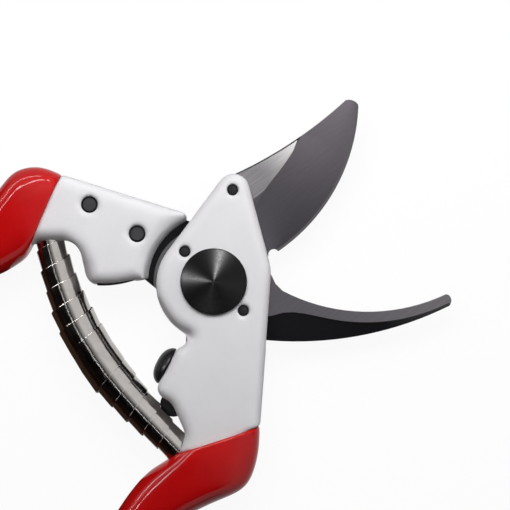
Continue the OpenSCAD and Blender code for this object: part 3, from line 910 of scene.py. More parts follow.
@dataclass
class CuttingBlade:
    """The cutting blade: hollow ground below an arc, bright and brushed above it."""

    top: float = 12.17
    half_turn: float = 27.0
    heel: tuple[float, float] = (16.8, -12.6)
    reach: float = 66.6
    tip_angle: float = -11.6
    edge_radius: float = 54.2
    spine: float = 0.42

    def edge_centre(self) -> tuple[float, float]:
        """Finds the centre of the arc that the cutting edge follows.

        Returns:
            The centre in millimetres, in the open position.
        """
        heel, tip = Vector(self.heel), direction(self.tip_angle).to_2d() * self.reach
        chord = tip - heel
        across = Vector((-chord.y, chord.x)).normalized()
        middle = (heel + tip) / 2
        centre = middle + across * math.sqrt(self.edge_radius**2 - (chord.length / 2) ** 2)
        spot = turned(centre, self.half_turn)
        return (spot.x, spot.y)

    def break_spine(self, piece: Piece) -> None:
        """Breaks the edge between the brushed flat and the flank with a dark chamfer.

        Args:
            piece: The blade.
        """
        skin = bmesh.new()
        skin.from_mesh(piece.data)
        edges = [
            edge
            for edge in skin.edges
            if {face.material_index for face in edge.link_faces} == {1, 2}
            and max(face.normal.y for face in edge.link_faces) > 0.5
        ]
        bmesh.ops.bevel(
            skin, geom=edges, offset=self.spine * MM, segments=1, affect="EDGES", material=2
        )
        skin.to_mesh(piece.data)
        skin.free()

    def build(self) -> None:
        """Makes the blade."""
        ground = GroundSteel(
            name="Hollow-ground blade steel with painted reflection",
            colour="#5a575c",
            lighter="#847e85",
            roughness=0.42,
            angle=self.half_turn + 60,
            line=0.5,
            stretch=14,
            contrast=0.12,
            # the fade from the darker heel to the lighter tip is painted reflection
            fade_from=(22, 0),
            fade_to=(66, 18),
            edge_centre=self.edge_centre(),
            edge_radius=self.edge_radius,
            edge_width=0.9,
        )
        bright = GroundSteel(
            name="Brushed blade steel with painted highlight",
            colour="#8f8c8f",
            lighter="#f6f4f2",
            metallic=0.5,
            roughness=0.34,
            angle=self.half_turn + 100,
            line=0.28,
            stretch=30,
            contrast=0.3,
            # the fade to near-white towards the top right of the flat is a painted highlight
            fade_from=(27, 21),
            fade_to=(42, 28),
            edge_centre=(23.1, 48.2),
            edge_radius=35.7,
            edge_width=0.8,
            outer_colour="#57545a",
        )
        side = GroundSteel(
            name="Sheared blade flank", colour="#3b3a3c", lighter="#4a494b", roughness=0.4, contrast=0.3
        )
        level = (self.top - LEVEL_SLACK) * MM

        def zone(face: bmesh.types.BMFace) -> int:
            """Tells the ground face, the brushed flat and the flanks apart."""
            if abs(face.normal.z) < 0.5:
                return 2
            return 1 if face.normal.z > 0 and face.calc_center_median().z > level else 0

        piece = refined(
            "Cutting_blade_leaf",
            "cutting_blade",
            [ground.build(), bright.build(), side.build()],
            sharp=24,
            sort=zone,
        )
        self.break_spine(piece)
        seat(piece, Body.BLADE_SIDE, Slot.BLADE, "cutting_blade")


@dataclass
class Hook:
    """The counter hook: a ground band beside the blade's path and a blackened bevel below it."""

    top: float = 9.01

    def build(self) -> None:
        """Makes the hook."""
        band = GroundSteel(
            name="Ground hook steel with painted gap shade",
            colour="#837f86",
            lighter="#8d898e",
            roughness=0.4,
            angle=-35,
            contrast=0.2,
            fade_from=(20, -18),
            fade_to=(60, -44),
            # the tang outside this arc, in the gap beside the disc, is painted dark: painted shade;
            # inside the bearing circle the steel stays grey
            edge_centre=(40, -10),
            edge_radius=46.0,
            outer_colour="#343235",
            bearing_centre=(-1.5, 1.0),
            bearing_radius=16.1,
        )
        black = SpeckledSkin(
            "Blackened hook steel", "#161518", darker="#0e0d10", roughness=0.34, specular=0.2, grain=0.35
        )
        level = (self.top - LEVEL_SLACK) * MM

        def zone(face: bmesh.types.BMFace) -> int:
            """Tells the ground band from the blackened faces."""
            return 0 if face.normal.z > 0.9 and face.calc_center_median().z > level else 1

        piece = refined(
            "Hook_jaw", "hook_blade", [band.build(), black.build()], sharp=24, sort=zone
        )
        seat(piece, Body.HOOK_SIDE, Slot.HOOK, "hook_blade")


@dataclass
class Pivot:
    """The bolt with its turned conical head, the bushing, washer, nut and lock segment."""

    seat_z: float = 16.36
    back_z: float = 1.0
    head_d: float = 19.4
    head_h: float = 3.44
    shank_d: float = 8.0
    shank_break: float = 0.4
    rim_break: float = 0.25
    rim_band: float = 0.75
    shoulder_r: float = 0.5
    shoulder_bend: float = 70.0
    apex_r: float = 1.3
    apex_drop: float = 0.12
    tip_r: float = 0.6
    tip_drop: float = 0.02
    shoulder_steps: int = 4
    cone_steps: int = 12
    steps: int = 160

    def head_profile(self) -> list[tuple[float, float]]:
        """Draws the bolt's profile from its back to the tip of its head.

        Returns:
            The profile's points (radius, height) in millimetres.
        """
        rim, top = self.head_d / 2, self.seat_z + self.head_h
        neck, back, edge = self.shank_d / 2, self.back_z, self.rim_break
        band = self.seat_z + self.rim_band
        points = [(0, back), (neck - self.shank_break, back), (neck, back + self.shank_break)]
        points += [(neck, self.seat_z), (rim - edge, self.seat_z), (rim, self.seat_z + edge)]
        points += [(rim, band)]
        for k in range(1, self.shoulder_steps + 1):
            bend = math.radians(self.shoulder_bend * k / self.shoulder_steps)
            inward, rise = self.shoulder_r * (1 - math.cos(bend)), self.shoulder_r * math.sin(bend)
            points.append((rim - inward, band + rise))
        (x, z), apex_z, steps = points[-1], top - self.apex_drop, self.cone_steps
        for k in range(1, steps + 1):
            points.append((x + (self.apex_r - x) * k / steps, z + (apex_z - z) * k / steps))
        return points + [(self.tip_r, top - self.tip_drop), (0, top)]

    def build(self) -> None:
        """Makes the pieces on the pivot's axis."""
        skin = lathe(self.head_profile(), self.steps, Matrix.Identity(4))
        shade(skin, 35)
        bolt = new_object("Pivot_bolt_head", skin, [TurnedBlack().build()])
        seat(bolt, Body.HOOK_SIDE, Slot.BLACK, "pivot_bolt")
        plated = SpeckledSkin(
            "Bright zinc plating",
            "#b4b3b5",
            darker="#9c9b9e",
            metallic=1.0,
            roughness=0.3,
            grain=0.3,
            depth=0.006,
        ).build()
        bronze = SpeckledSkin(
            "Turned bearing bronze", "#a98647", darker="#8f6f38", metallic=1.0, roughness=0.32
        ).build()
        for name, node, bevel in (
            ("Pivot_nut_cap", "pivot_nut", 0.12),
            ("Pivot_washer_ring", "pivot_washer", 0.1),
            ("Nut_lock_segment", "lock_segment", 0.1),
            ("Nut_lock_screw", "lock_screw", 0.08),
            ("Latch_catch_pin", "latch_pin", 0.12),
        ):
            dress(name, node, Body.HOOK_SIDE, Slot.PLATED, plated, bevel)
        dress("Pivot_bush", "pivot_bushing", Body.BLADE_SIDE, Slot.BRONZE, bronze, 0.12)


@dataclass
class Fasteners:
    """Rivets of the hook, pins of the blade and the latch lever with its rivet."""

    face_share: float = 0.74
    groove: float = 0.22
    groove_slope: float = 0.1
    flare: float = 0.3
    flare_from: float = 1.0
    flare_to: float = 0.7
    broken: float = 0.15
    lip: float = 0.3
    crown: float = 0.12
    steps: int = 48

    def pin(
        self,
        name: str,
        node: str,
        body: Body,
        slot: Slot,
        materials: Sequence[Material],
        flare: float = 0.0,
    ) -> None:
        """Makes a set pin: a slightly crowned end face in a sunk ring, with ring and rim painted
        near-black as the shade of the gap round the head.

        Args:
            name: Name of the piece.
            node: The CAD pin that it stands for.
            body: What it rides on.
            slot: The record's slot that its finish comes from.
            materials: The finish of the end face, and the near-black of the rest, which paints the shade
                of the gap round the head.
            flare: How far its head widens into a countersink, in millimetres; the widened rim is painted
                near-black too.
        """
        low, high = (Vector(corner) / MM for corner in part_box(node))
        neck, foot, top = (high.x - low.x) / 2, low.z, high.z
        rim = neck + flare
        face = rim * self.face_share
        ring = top - self.groove
        profile = [
            (0, foot),
            (neck - self.broken, foot),
            (neck, foot + self.broken),
            (neck, top - self.flare_from),
            (rim, top - self.flare_to),
            (rim, top - self.broken),
            (rim - self.lip / 3, top - self.broken / 3),
            (rim - self.lip, ring),
            (face + self.groove_slope, ring),
            (face, ring + self.groove_slope),
            (face - self.groove_slope / 2, top - self.crown),
            (face / 2, top - self.crown / 4),
            (0, top),
        ]
        middle = (low + high) / 2
        stand = Matrix.Translation((middle.x * MM, middle.y * MM, 0))
        skin = lathe(profile, self.steps, stand)
        for side in skin.faces:
            spot = side.calc_center_median() / MM
            within = math.hypot(spot.x - middle.x, spot.y - middle.y) < face
            # the face keeps the head's own dark grey; rim, ring and flare get the near-black: painted
            # shade of the gap round the head
            side.material_index = 0 if within and spot.z > (foot + top) / 2 else 1
        shade(skin, 50)
        seat(new_object(name, skin, materials), body, slot, node)

    def build(self) -> None:
        """Makes the small steel pieces."""
        dark = SpeckledSkin(
            "Blackened rivet steel",
            "#444346",
            darker="#333235",
            roughness=0.38,
            grain=0.3,
        ).build()
        darker = SpeckledSkin(
            "Oiled black pin steel", "#2c2a2d", darker="#201f21", roughness=0.36, grain=0.3
        ).build()
        # near-black for the pins' rims and rings: painted shade of the gap round each head
        black = SpeckledSkin(
            "Near-black steel painted as gap shade", "#0c0c0e", darker="#070708", roughness=0.3, grain=0.3
        ).build()
        enamel = SpeckledSkin(
            "Black enamelled steel", "#131316", darker="#0b0b0d", roughness=0.18, coat=0.6, grain=2.0
        ).build()
        plated = bpy.data.materials["Bright zinc plating"]
        for i in (1, 2):
            self.pin(
                f"Hook_rivet_head_{i}",
                f"hook_rivet_{i}",
                Body.HOOK_SIDE,
                Slot.RIVET,
                [dark, black],
                self.flare,
            )
        for i in (1, 2, 3):
            self.pin(
                f"Blade_pin_end_{i}", f"blade_pin_{i}", Body.BLADE_SIDE, Slot.BLACK, [darker, black]
            )
        dress("Latch_thumb_lever", "latch_lever", Body.LATCH, Slot.BLACK, enamel, 0.9)
        dress("Latch_lever_rivet", "latch_rivet", Body.BLADE_SIDE, Slot.PLATED, plated, 0.15)


@dataclass
class Stops:
    """The rubber bumper on the blade handle and the black pad that it meets."""

    half_turn: float = 27.0
    stop_x: float = -28.5
    edge_y: float = 0.3
    mid_z: float = 9.3
    width: float = 11.5
    height: float = 3.5
    foot: float = 0.3
    foot_break: float = 0.15
    gap: float = 0.06
    dome_powers: tuple[float, float] = (0.8, 1.15)
    dome_steps: int = 16
    shank: float = 4.5
    shank_length: float = 8.5
    keep: float = 0.66
    steps: int = 64
    pad_y: float = 3.3
    pad_length: float = 10.8
    pad_width: float = 7.88
    pad_rise: float = 0.55
    pad_sunk: float = 0.3
    pad_depth: float = 1.3
    pad_break: float = 0.2
    pad_flat: float = 0.93
    pad_power: float = 0.8
    pad_steps: int = 24

    def pad_skin(self) -> Skin:
        """Makes the pad: a strip whose outer face bows out like a lens and whose back is sunk.

        Returns:
            The pad's skin, in place.
        """
        skin = bmesh.new()
        count, start = self.pad_steps, self.stop_x - self.pad_length / 2
        outline = []
        for k in range(count + 1):
            bow = math.sin(math.pi * k / count) ** self.pad_power
            along = start + self.pad_length * k / count
            outline.append((along, self.pad_y + self.pad_sunk - bow * self.pad_rise))
        outline += [(start + self.pad_length, self.pad_y + self.pad_depth)]
        outline += [(start, self.pad_y + self.pad_depth)]
        rings = []
        flat, edge = self.pad_flat, self.pad_break
        for rise, inset in ((-1.0, edge), (-flat, 0.0), (flat, 0.0), (1.0, edge)):
            ring = []
            for x, y in outline:
                spot = turned((x, y + inset), -self.half_turn)
                spot.z = self.mid_z + rise * self.pad_width / 2
                ring.append(skin.verts.new(spot * MM))
            rings.append(ring)
        for low, high in zip(rings, rings[1:]):
            for k, corner in enumerate(low):
                after = (k + 1) % len(low)
                skin.faces.new((corner, low[after], high[after], high[k]))
        skin.faces.new(rings[0])
        skin.faces.new(rings[-1])
        bmesh.ops.recalc_face_normals(skin, faces=skin.faces)
        shade(skin, 30)
        return skin

    def build(self) -> None:
        """Makes the bumper and the pad."""
        rubber = SpeckledSkin(
            "Moulded black rubber",
            "#17171a",
            darker="#101013",
            roughness=0.36,
            specular=0.17,
            grain=0.5,
            wander=2.5,
        ).build()
        half, neck, gap, low = self.width / 2, self.shank / 2, self.gap, -self.shank_length
        base = [(0, low), (neck, low), (neck, gap), (half - self.foot_break, gap)]
        dome = []
        for k in range(self.dome_steps):
            bend = math.radians(90 * k / self.dome_steps)
            out = math.cos(bend) ** self.dome_powers[0]
            up = math.sin(bend) ** self.dome_powers[1]
            dome.append((half * out, self.foot + (self.height - self.foot) * up))
        spot = turned((self.stop_x, self.edge_y), self.half_turn) * MM
        stand = (
            Matrix.Translation((spot.x, spot.y, self.mid_z * MM))
            @ Matrix.Rotation(math.radians(self.half_turn), 4, "Z")
            @ Matrix.Rotation(math.radians(-90), 4, "X")
        )
        skin = lathe([*base, *dome, (0, self.height)], self.steps, stand)
        shade(skin, 40)
        bumper = new_object("Bumper_dome", skin, [rubber])
        seat(bumper, Body.BLADE_SIDE, Slot.RUBBER, "bumper")
        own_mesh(bumper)
        pad = new_object("Stop_pad_strip", self.pad_skin(), [rubber])
        seat(pad, Body.HOOK_SIDE, Slot.RUBBER, "stop_pad")


@dataclass
class VoluteSpring:
    """The double volute spring: one flat strip wound into two cones that meet in the middle.

    The strip is made by Geometry Nodes, which wind it about a curved axis. Its end turns sit
    on the handles' pegs and ride with them. The turns between them slide into each other as the
    handles close; each turn is a piece of its own, but those between the end turns stay where
    they are wound.
    """

    half_turn: float = 27.0
    pegs: tuple[tuple[float, float], ...] = ((-46.2, 18.2), (-48.4, -14.1))
    peg_angles: tuple[float, float] = (-85.0, 73.0)
    mid_z: float = 9.3
    lift: float = -0.8
    bow: float = 0.42
    strip_w: float = 13.4
    strip_t: float = 0.3
    end_r: float = 3.75
    mid_r: float = 6.4
    pitch: float = 5.9
    lean: float = 0.14
    flare: float = 0.14
    steps_per_turn: int = 60
    parting: float = 0.75
    reach: float = 85.0
    weld: float = 0.002

    # The winding's sizes in millimetres: the name of the input, and of the field
    SIZES = {
        "Strip width": "strip_w",
        "Strip thickness": "strip_t",
        "End radius": "end_r",
        "Middle radius": "mid_r",
        "Pitch": "pitch",
        "Lean": "lean",
        "Flare": "flare",
    }

    # A row of points lies across the strip: five outside, five inside and the first again
    ROW = 11

    # What each step of the winding works out, in order: its name, the sum and its terms
    WINDING = (
        ("row", "DIVIDE", "index", ROW),
        ("row", "FLOOR", "row"),
        ("place", "MODULO", "index", ROW),
        ("last", "SUBTRACT", "Rows", 1.0),
        ("inner_rows", "SUBTRACT", "last", 2.0),
        ("share", "SUBTRACT", "row", 1.0),
        ("share", "DIVIDE", "share", "inner_rows"),
        ("share", "MAXIMUM", "share", 0.0),
        ("share", "MINIMUM", "share", 1.0),
        ("span", "SUBTRACT", "To turn", "From turn"),
        ("turn", "MULTIPLY_ADD", "share", "span", "From turn"),
        # the first and last rows shrink to a line, which closes the ends
        ("after", "GREATER_THAN", "row", 0.5),
        ("stop", "SUBTRACT", "last", 0.5),
        ("before", "LESS_THAN", "row", "stop"),
        ("open", "MULTIPLY", "after", "before"),
        # way of the strip's middle along the axis: the end turns stay flat on their seats
        ("half", "MULTIPLY", "Turns", 0.5),
        ("from_middle", "SUBTRACT", "turn", "half"),
        ("side", "SIGN", "from_middle"),
        ("away", "ABSOLUTE", "from_middle"),
        ("half_width", "MULTIPLY", "Strip width", 0.5),
        ("half_length", "MULTIPLY", "length", 0.5),
        ("limit", "SUBTRACT", "half_length", "half_width"),
        ("way", "MULTIPLY", "away", "Pitch"),
        ("way", "MINIMUM", "way", "limit"),
        ("way", "MULTIPLY_ADD", "way", "side", "half_length"),
        # where across the strip the point is
        ("ahead", "SUBTRACT", "place", 4.5),
        ("ahead", "ABSOLUTE", "ahead"),
        ("ahead", "MULTIPLY_ADD", "ahead", 0.5, -1.25),
        ("ahead", "MINIMUM", "ahead", 1.0),
        ("out", "ABSOLUTE", "ahead"),
        ("out", "GREATER_THAN", "out", 0.9),
        ("widen", "MULTIPLY_ADD", "out", -0.94, 1.94),
        ("ahead", "MULTIPLY", "ahead", "widen"),
        ("way", "MULTIPLY_ADD", "ahead", "half_width", "way"),
        # the strip's edges are rounded off
        ("inner", "COMPARE", "place", 7.0, 2.6),
        ("skin", "SUBTRACT", 0.5, "inner"),
        ("thin", "MULTIPLY_ADD", "out", -0.85, 1.0),
        ("skin", "MULTIPLY", "skin", "thin"),
        ("skin", "MULTIPLY_ADD", "skin", "open", -0.5),
        # radius, largest in the middle
        ("cone", "DIVIDE", "away", "half"),
        ("taper", "SUBTRACT", "End radius", "Middle radius"),
        ("radius", "MULTIPLY_ADD", "cone", "taper", "Middle radius"),
        ("radius", "MULTIPLY_ADD", "skin", "Strip thickness", "radius"),
        # each turn leans a little differently
        ("lean", "MULTIPLY", "turn", 2.3),
        ("lean", "SINE", "lean"),
        ("lean", "MULTIPLY", "lean", "ahead"),
        ("radius", "MULTIPLY_ADD", "lean", "Lean", "radius"),
        ("flare", "MULTIPLY", "side", "ahead"),
        ("radius", "MULTIPLY_ADD", "flare", "Flare", "radius"),
        ("angle", "MULTIPLY", "turn", math.tau),
        ("cosine", "COSINE", "angle"),
        ("sine", "SINE", "angle"),
        ("across", "MULTIPLY", "radius", "cosine"),
        ("up", "MULTIPLY", "radius", "sine"),
    )

    def axis(self) -> list[Vector]:
        """Lays the spring's axis from peg to peg.

        Returns:
            Its four Bezier points in metres, in the open position.
        """
        signs = (-1, 1)
        seats, leads = [], []
        for peg, angle, sign in zip(self.pegs, self.peg_angles, signs):
            lead = direction(angle)
            spot = Vector((*peg, 0)) + lead * self.lift
            seats.append(turned(spot, sign * self.half_turn) * MM)
            leads.append(direction(angle + sign * self.half_turn))
        reach = (seats[1] - seats[0]).length * self.bow
        rise = Vector((0, 0, self.mid_z * MM))
        points = [seats[0], seats[0] + leads[0] * reach, seats[1] + leads[1] * reach, seats[1]]
        return [point + rise for point in points]

    def marks(self, count: int = 400) -> tuple[list[Vector], list[float]]:
        """Follows the axis.

        Args:
            count: Number of steps.

        Returns:
            Points of the axis in metres, and the length in millimetres that leads to each.
        """
        a, b, c, d = self.axis()
        points, ways = [], []
        for i in range(count + 1):
            t = i / count
            s = 1 - t
            points.append(a * s**3 + b * 3 * s * s * t + c * 3 * s * t * t + d * t**3)
            ways.append(ways[-1] + (points[-1] - points[-2]).length / MM if ways else 0.0)
        return points, ways

    def tree(self, steel: Material) -> Tree:
        """Builds the node tree that winds the strip.

        Args:
            steel: The strip's material.

        Returns:
            The tree, with an input for each size.
        """
        tree = bpy.data.node_groups.new("Wind volute strip", "GeometryNodeTree")
        for name in (*self.SIZES, "Turns", "From turn", "To turn"):
            tree.interface.new_socket(name, in_out="INPUT", socket_type="NodeSocketFloat")
        tree.interface.new_socket("Rows", in_out="INPUT", socket_type="NodeSocketInt")
        tree.interface.new_socket("Geometry", in_out="OUTPUT", socket_type="NodeSocketGeometry")
        sizes = add_node(tree, "NodeGroupInput")
        start, lead, trail, end = self.axis()
        axis = add_node(
            tree,
            "GeometryNodeCurvePrimitiveBezierSegment",
            inputs={
                "Start": start,
                "Start Handle": lead,
                "End Handle": trail,
                "End": end,
                "Resolution": 96,
            },
        )
        length = add_node(tree, "GeometryNodeCurveLength", inputs={"Curve": axis.outputs[0]})
        sheet = add_node(
            tree,
            "GeometryNodeMeshGrid",
            inputs={"Vertices X": sizes.outputs["Rows"], "Vertices Y": self.ROW},
        )
        found: dict[str, Socket] = {s.name: s for s in sizes.outputs if s.name}
        found["index"] = add_node(tree, "GeometryNodeInputIndex").outputs[0]
        found["length"] = length.outputs[0]
        for name, operation, *terms in self.WINDING:
            values = [found[term] if isinstance(term, str) else term for term in terms]
            found[name] = reckon(tree, operation, *values)
        spot = add_node(
            tree,
            "GeometryNodeSampleCurve",
            {"mode": "LENGTH", "use_all_curves": True},
            {"Curves": axis.outputs[0], "Length": found["way"]},
        )
        side = reckon_vector(tree, "CROSS_PRODUCT", (0, 0, 1), spot.outputs["Tangent"])
        across = reckon_vector(tree, "SCALE", side.outputs[0], scale=found["across"])
        up = add_node(tree, "ShaderNodeCombineXYZ", inputs={"Z": found["up"]})
        flat = reckon_vector(tree, "ADD", spot.outputs["Position"], across.outputs[0])
        place = reckon_vector(tree, "ADD", flat.outputs[0], up.outputs[0])
        wound = add_node(
            tree,
            "GeometryNodeSetPosition",
            inputs={"Geometry": sheet.outputs["Mesh"], "Position": place.outputs[0]},
        )
        steps = (
            ("GeometryNodeMergeByDistance", {"Distance": self.weld * MM}),
            ("GeometryNodeRealizeInstances", {}),
            ("GeometryNodeSetMaterial", {"Material": steel}),
        )
        strip = wound.outputs[0]
        for kind, inputs in steps:
            strip = add_node(tree, kind, inputs={"Geometry": strip, **inputs}).outputs[0]
        add_node(tree, "NodeGroupOutput", inputs={"Geometry": strip})
        return tree

    def wind(self, name: str, tree: Tree, turns: float, first: float, last: float) -> Piece:
        """Winds a stretch of the strip.

        Args:
            name: Name of the piece.
            tree: The tree that winds it.
            turns: Turns of the whole spring.
            first: The turn at which the stretch starts.
            last: The turn at which it ends.

        Returns:
            The stretch as a plain mesh.
        """
        piece = new_object(name, bmesh.new(), [])
        winding = piece.modifiers.new("Winding", "NODES")
        winding.node_group = tree
        values = {label: getattr(self, size) * MM for label, size in self.SIZES.items()}
        values.update({"From turn": first, "To turn": last, "Turns": turns})
        values["Rows"] = round((last - first) * self.steps_per_turn) + 3
        for item in tree.interface.items_tree:
            if item.name in values:
                winding[item.identifier] = values[item.name]
        settle(piece)
        skin = bmesh.new()
        skin.from_mesh(piece.data)
        bmesh.ops.recalc_face_normals(skin, faces=skin.faces)
        shade(skin, 40)
        skin.to_mesh(piece.data)
        skin.free()
        even = piece.modifiers.new("Even shading", "WEIGHTED_NORMAL")
        even.keep_sharp = True
        settle(piece)
        return piece

    def build(self) -> None:
        """Makes the spring turn by turn, and the pegs that it sits on."""
        steel = SpeckledSkin(
            "Nickel-plated spring strip",
            "#c4c0bd",
            darker="#a39e9a",
            metallic=1.0,
            roughness=0.14,
            grain=0.9,
            depth=0.04,
            wander=4.0,
        ).build()
        tree = self.tree(steel)
        points, ways = self.marks()
        length = ways[-1]
        travel = length - self.strip_w
        # one flat turn on each seat, and the climbing ones between them
        turns = 2 + travel / self.pitch
        # the turns part at the back of the spring, where nobody sees the step
        cuts = [0.0]
        while cuts[-1] < turns - 1:
            cuts.append(cuts[-1] + (1 if len(cuts) > 1 else self.parting))
        cuts.append(turns)
        for k, (first, last) in enumerate(zip(cuts, cuts[1:])):
            piece = self.wind(f"Spring_turn_{k + 1:02d}", tree, turns, first, last)
            middle = (first + last) / 2 - turns / 2
            way = max(-travel / 2, min(travel / 2, middle * self.pitch)) + length / 2
            share = (way - self.strip_w / 2) / travel
            # the end turns go with their handles
            if share < 0.01 or share > 0.99:
                body = Body.HOOK_SIDE if share < 0.5 else Body.BLADE_SIDE
                seat(piece, body, Slot.SPRING, "volute_spring")
                continue
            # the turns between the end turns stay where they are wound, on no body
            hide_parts("volute_spring")
            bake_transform(piece)
            LOG.info("%s: %d faces, between the handles", piece.name, len(piece.data.polygons))
        plated = bpy.data.materials["Bright zinc plating"]
        for name, body in (("spring_peg_1", Body.HOOK_SIDE), ("spring_peg_2", Body.BLADE_SIDE)):
            dress(name.capitalize() + "_pin", name, body, Slot.PLATED, plated, 0.15)


# ---------------------------------------------------------------- studio


# The pieces in whose gloss the streak lamps and the strip lamps show, by their names' starts
TURNED = ("Pivot_bolt", "Bumper", "Latch_thumb")
SHINY = ("Hook_handle_dip", "Blade_handle_dip", "Spring")


@dataclass(frozen=True)
class Lamp:
    """A soft lamp: its direction and elevation, distance and size in metres, power in watts.

    A lamp that is not mirrored only lights. One with mirrors does not light: it only shows in
    the gloss of the pieces whose names begin with them.
    """

    name: str
    side: float
    height: float
    distance: float
    size: tuple[float, float]
    power: float
    mirrored: bool = True
    mirrors: tuple[str, ...] = ()

    def hang(self) -> None:
        """Hangs the lamp, turned to the shears."""
        data = bpy.data.lights.new(self.name, "AREA")
        data.shape = "RECTANGLE"
        data.size, data.size_y = self.size
        data.energy = self.power
        holder = bpy.data.objects.new(self.name, data)
        bpy.context.scene.collection.objects.link(holder)
        flat = direction(self.side) * math.cos(math.radians(self.height))
        away = Vector((flat.x, flat.y, math.sin(math.radians(self.height))))
        holder.location = away * self.distance
        holder.rotation_euler = away.to_track_quat("Z", "Y").to_euler()
        holder.visible_glossy = self.mirrored
        if self.mirrors:
            holder.visible_diffuse = False
            seen_by = bpy.data.collections.new(f"Mirrors of {self.name}")
            for piece in bpy.context.scene.objects:
                if piece.name.startswith(self.mirrors):
                    seen_by.objects.link(piece)
            holder.light_linking.receiver_collection = seen_by


@dataclass(frozen=True)
class Flag:
    """A dark card: its direction and half width, and how far off and how high its edges are.

    Lengths are in metres. A card that thins lets more and more light through past the middle.
    """

    side: float
    half: float
    foot: tuple[float, float]
    head: tuple[float, float]
    thins: bool = False


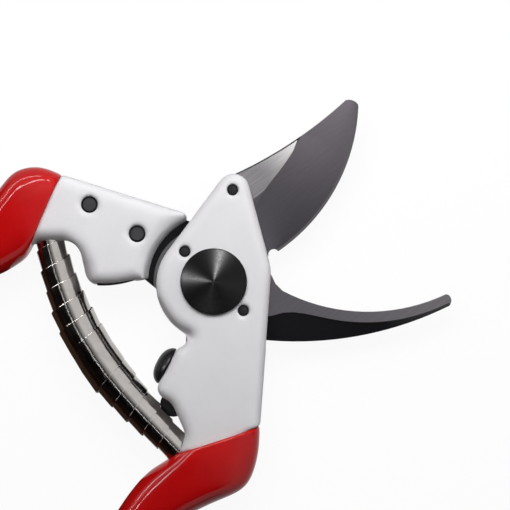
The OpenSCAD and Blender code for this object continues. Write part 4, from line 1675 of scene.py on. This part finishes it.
@dataclass
class Studio:
    """The floor, the lamps, the dark flags that chrome needs, and the camera."""

    aim: tuple[float, float, float] = (14.3, -0.55, 9.3)
    width: float = 150.0
    lens: float = 170.0
    turn: float = -35.0
    sensor: float = 36.0
    clip: tuple[float, float] = (0.01, 10.0)
    floor_z: float = -0.4
    floor_half: float = 3000.0
    floor_glow: float = 0.93
    paper_below: str = "#4a4a4a"
    ambient: float = 0.08
    lamps: tuple[Lamp, ...] = (
        Lamp("Overhead_scrim", 0, 90, 1.3, (0.9, 0.9), 0.85, mirrored=False),
        Lamp("Top_softbox", 58, 55, 0.26, (0.25, 0.15), 0.65, mirrored=False),
        Lamp("Left_softbox", 108, 50, 0.9, (0.4, 0.3), 0.35, mirrored=False),
        Lamp("Right_softbox", -15, 20, 0.9, (0.4, 0.3), 2.2, mirrored=False),
        Lamp("Top_streak", 43, 56, 0.9, (0.06, 0.36), 17.0, mirrors=TURNED),
        Lamp("Left_streak", 137, 56, 0.9, (0.06, 0.36), 9.0, mirrors=TURNED),
        Lamp("Low_strip", 95, 18, 0.9, (1.6, 0.03), 5.5, mirrors=SHINY),
        Lamp("High_strip", 95, 42, 0.9, (1.6, 0.03), 7.0, mirrors=SHINY),
        Lamp("Spring_strip", 177, 72, 0.9, (1.2, 0.012), 0.3, mirrors=("Spring",)),
    )
    flags: tuple[Flag, ...] = (
        Flag(177.0, 1.6, (1.4, 0.0), (1.4, 1.0)),
        Flag(177.0, 1.6, (1.4, 1.0), (-1.1, 1.0), thins=True),
        Flag(177.0, 0.2, (0.05, 0.0), (0.7, 0.02)),
        Flag(-3.0, 1.2, (1.4, 0.0), (1.4, 0.5)),
    )
    # where a card begins and ends to thin, in metres along +X
    thinning: tuple[float, float] = (-0.2, 0.3)
    card_tones: tuple[str, str] = ("#3d2c24", "#5c4438")
    scrim_tones: tuple[str, str] = ("#241b17", "#382b25")

    def lay_floor(self) -> None:
        """Lays the white floor, which keeps a faint shadow."""
        skin = bmesh.new()
        bmesh.ops.create_grid(skin, x_segments=1, y_segments=1, size=self.floor_half * MM)
        bmesh.ops.translate(skin, vec=(0, 0, self.floor_z * MM), verts=skin.verts)
        material, tree, place = new_material("White studio paper")
        # the paper shows white, and returns little light to the undersides
        seen_straight = add_node(tree, "ShaderNodeLightPath").outputs["Is Camera Ray"]
        paper = add_node(
            tree,
            "ShaderNodeBsdfDiffuse",
            inputs={
                "Color": mix(tree, seen_straight, self.paper_below, "#ffffff"),
                "Normal": bump(tree, noise(tree, place, 2.0, 2.0), 0.05, 0.05),
            },
        )
        glow = add_node(
            tree, "ShaderNodeEmission", inputs={"Color": linear("#ffffff"), "Strength": 1.0}
        )
        share = reckon(tree, "MULTIPLY", self.shown(tree), self.floor_glow)
        mixed = add_node(
            tree,
            "ShaderNodeMixShader",
            inputs={0: share, 1: paper.outputs[0], 2: glow.outputs[0]},
        )
        add_node(tree, "ShaderNodeOutputMaterial", inputs={"Surface": mixed.outputs[0]})
        new_object("Paper_floor", skin, [material])

    def shown(self, tree: Tree) -> Socket:
        """Tells the rays that show a thing from those that light it.

        Args:
            tree: The node tree that it goes into.

        Returns:
            1 for a ray that sees it straight, mirrored or through glass, 0 for the others.
        """
        rays = add_node(tree, "ShaderNodeLightPath").outputs
        seen = reckon(tree, "MAXIMUM", rays["Is Camera Ray"], rays["Is Glossy Ray"])
        return reckon(tree, "MAXIMUM", seen, rays["Is Transmission Ray"])

    def light_world(self) -> None:
        """Sets the even light all round, which shows as white."""
        world = bpy.data.worlds.new("White surroundings")
        bpy.context.scene.world = world
        world.use_nodes = True
        tree = world.node_tree
        tree.nodes.clear()
        strength = remap(tree, self.shown(tree), self.ambient, 1.0)
        glow = add_node(
            tree,
            "ShaderNodeBackground",
            inputs={"Color": linear("#ffffff"), "Strength": strength},
        )
        add_node(tree, "ShaderNodeOutputWorld", inputs={"Surface": glow.outputs[0]})

    def card(self, thins: bool) -> Material:
        """Makes the dark card's material.

        Args:
            thins: Whether it lets more and more light through past the middle.

        Returns:
            The material.
        """
        material, tree, place = new_material("Graduated black scrim" if thins else "Black card")
        tones = self.scrim_tones if thins else self.card_tones
        tone = mix(tree, noise(tree, place, 3.0, 2.0), *tones)
        skin = add_node(tree, "ShaderNodeBsdfDiffuse", inputs={"Color": tone}).outputs[0]
        if thins:
            side = add_node(tree, "ShaderNodeSeparateXYZ", inputs={0: place}).outputs[0]
            start, end = self.thinning
            share = remap(tree, side, 0.0, 1.0, From_Min=start, From_Max=end)
            clear = add_node(tree, "ShaderNodeBsdfTransparent").outputs[0]
            skin = add_node(
                tree, "ShaderNodeMixShader", inputs={0: share, 1: skin, 2: clear}
            ).outputs[0]
        add_node(tree, "ShaderNodeOutputMaterial", inputs={"Surface": skin})
        return material

    def stand_flags(self) -> None:
        """Stands dark cards where only gloss sees them, for the streaks in the chrome."""
        cards = {thins: self.card(thins) for thins in (False, True)}
        for i, flag in enumerate(self.flags):
            skin = bmesh.new()
            across = direction(flag.side + 90) * flag.half
            corners = ((flag.foot, -1), (flag.foot, 1), (flag.head, 1), (flag.head, -1))
            spots = []
            for (away, height), sign in corners:
                spots.append(direction(flag.side) * away + across * sign + Vector((0, 0, height)))
            skin.faces.new([skin.verts.new(spot) for spot in spots])
            sheet = new_object(f"Flag_{i + 1}", skin, [cards[flag.thins]])
            sheet.visible_camera = sheet.visible_diffuse = sheet.visible_shadow = False

    def set_camera(self) -> None:
        """Sets the camera straight above the shears."""
        data = bpy.data.cameras.new("Camera")
        data.lens = self.lens
        data.sensor_width = self.sensor
        camera = bpy.data.objects.new("Camera", data)
        bpy.context.scene.collection.objects.link(camera)
        distance = self.width * self.lens / self.sensor
        camera.location = Vector(self.aim) * MM + Vector((0, 0, distance * MM))
        camera.rotation_euler = (0, 0, math.radians(self.turn))
        data.clip_start, data.clip_end = self.clip
        bpy.context.scene.camera = camera

    def build(self) -> None:
        """Builds the studio."""
        self.lay_floor()
        self.light_world()
        for lamp in self.lamps:
            lamp.hang()
        self.stand_flags()
        self.set_camera()
        bpy.context.scene.view_settings.view_transform = "Standard"


def main() -> None:
    """Builds the shears and the studio, and notes their size."""
    logging.basicConfig(level=logging.INFO, format="%(message)s")
    Handles().build()
    CuttingBlade().build()
    Hook().build()
    Pivot().build()
    Fasteners().build()
    Stops().build()
    VoluteSpring().build()
    Studio().build()


if __name__ == "__main__":
    main()
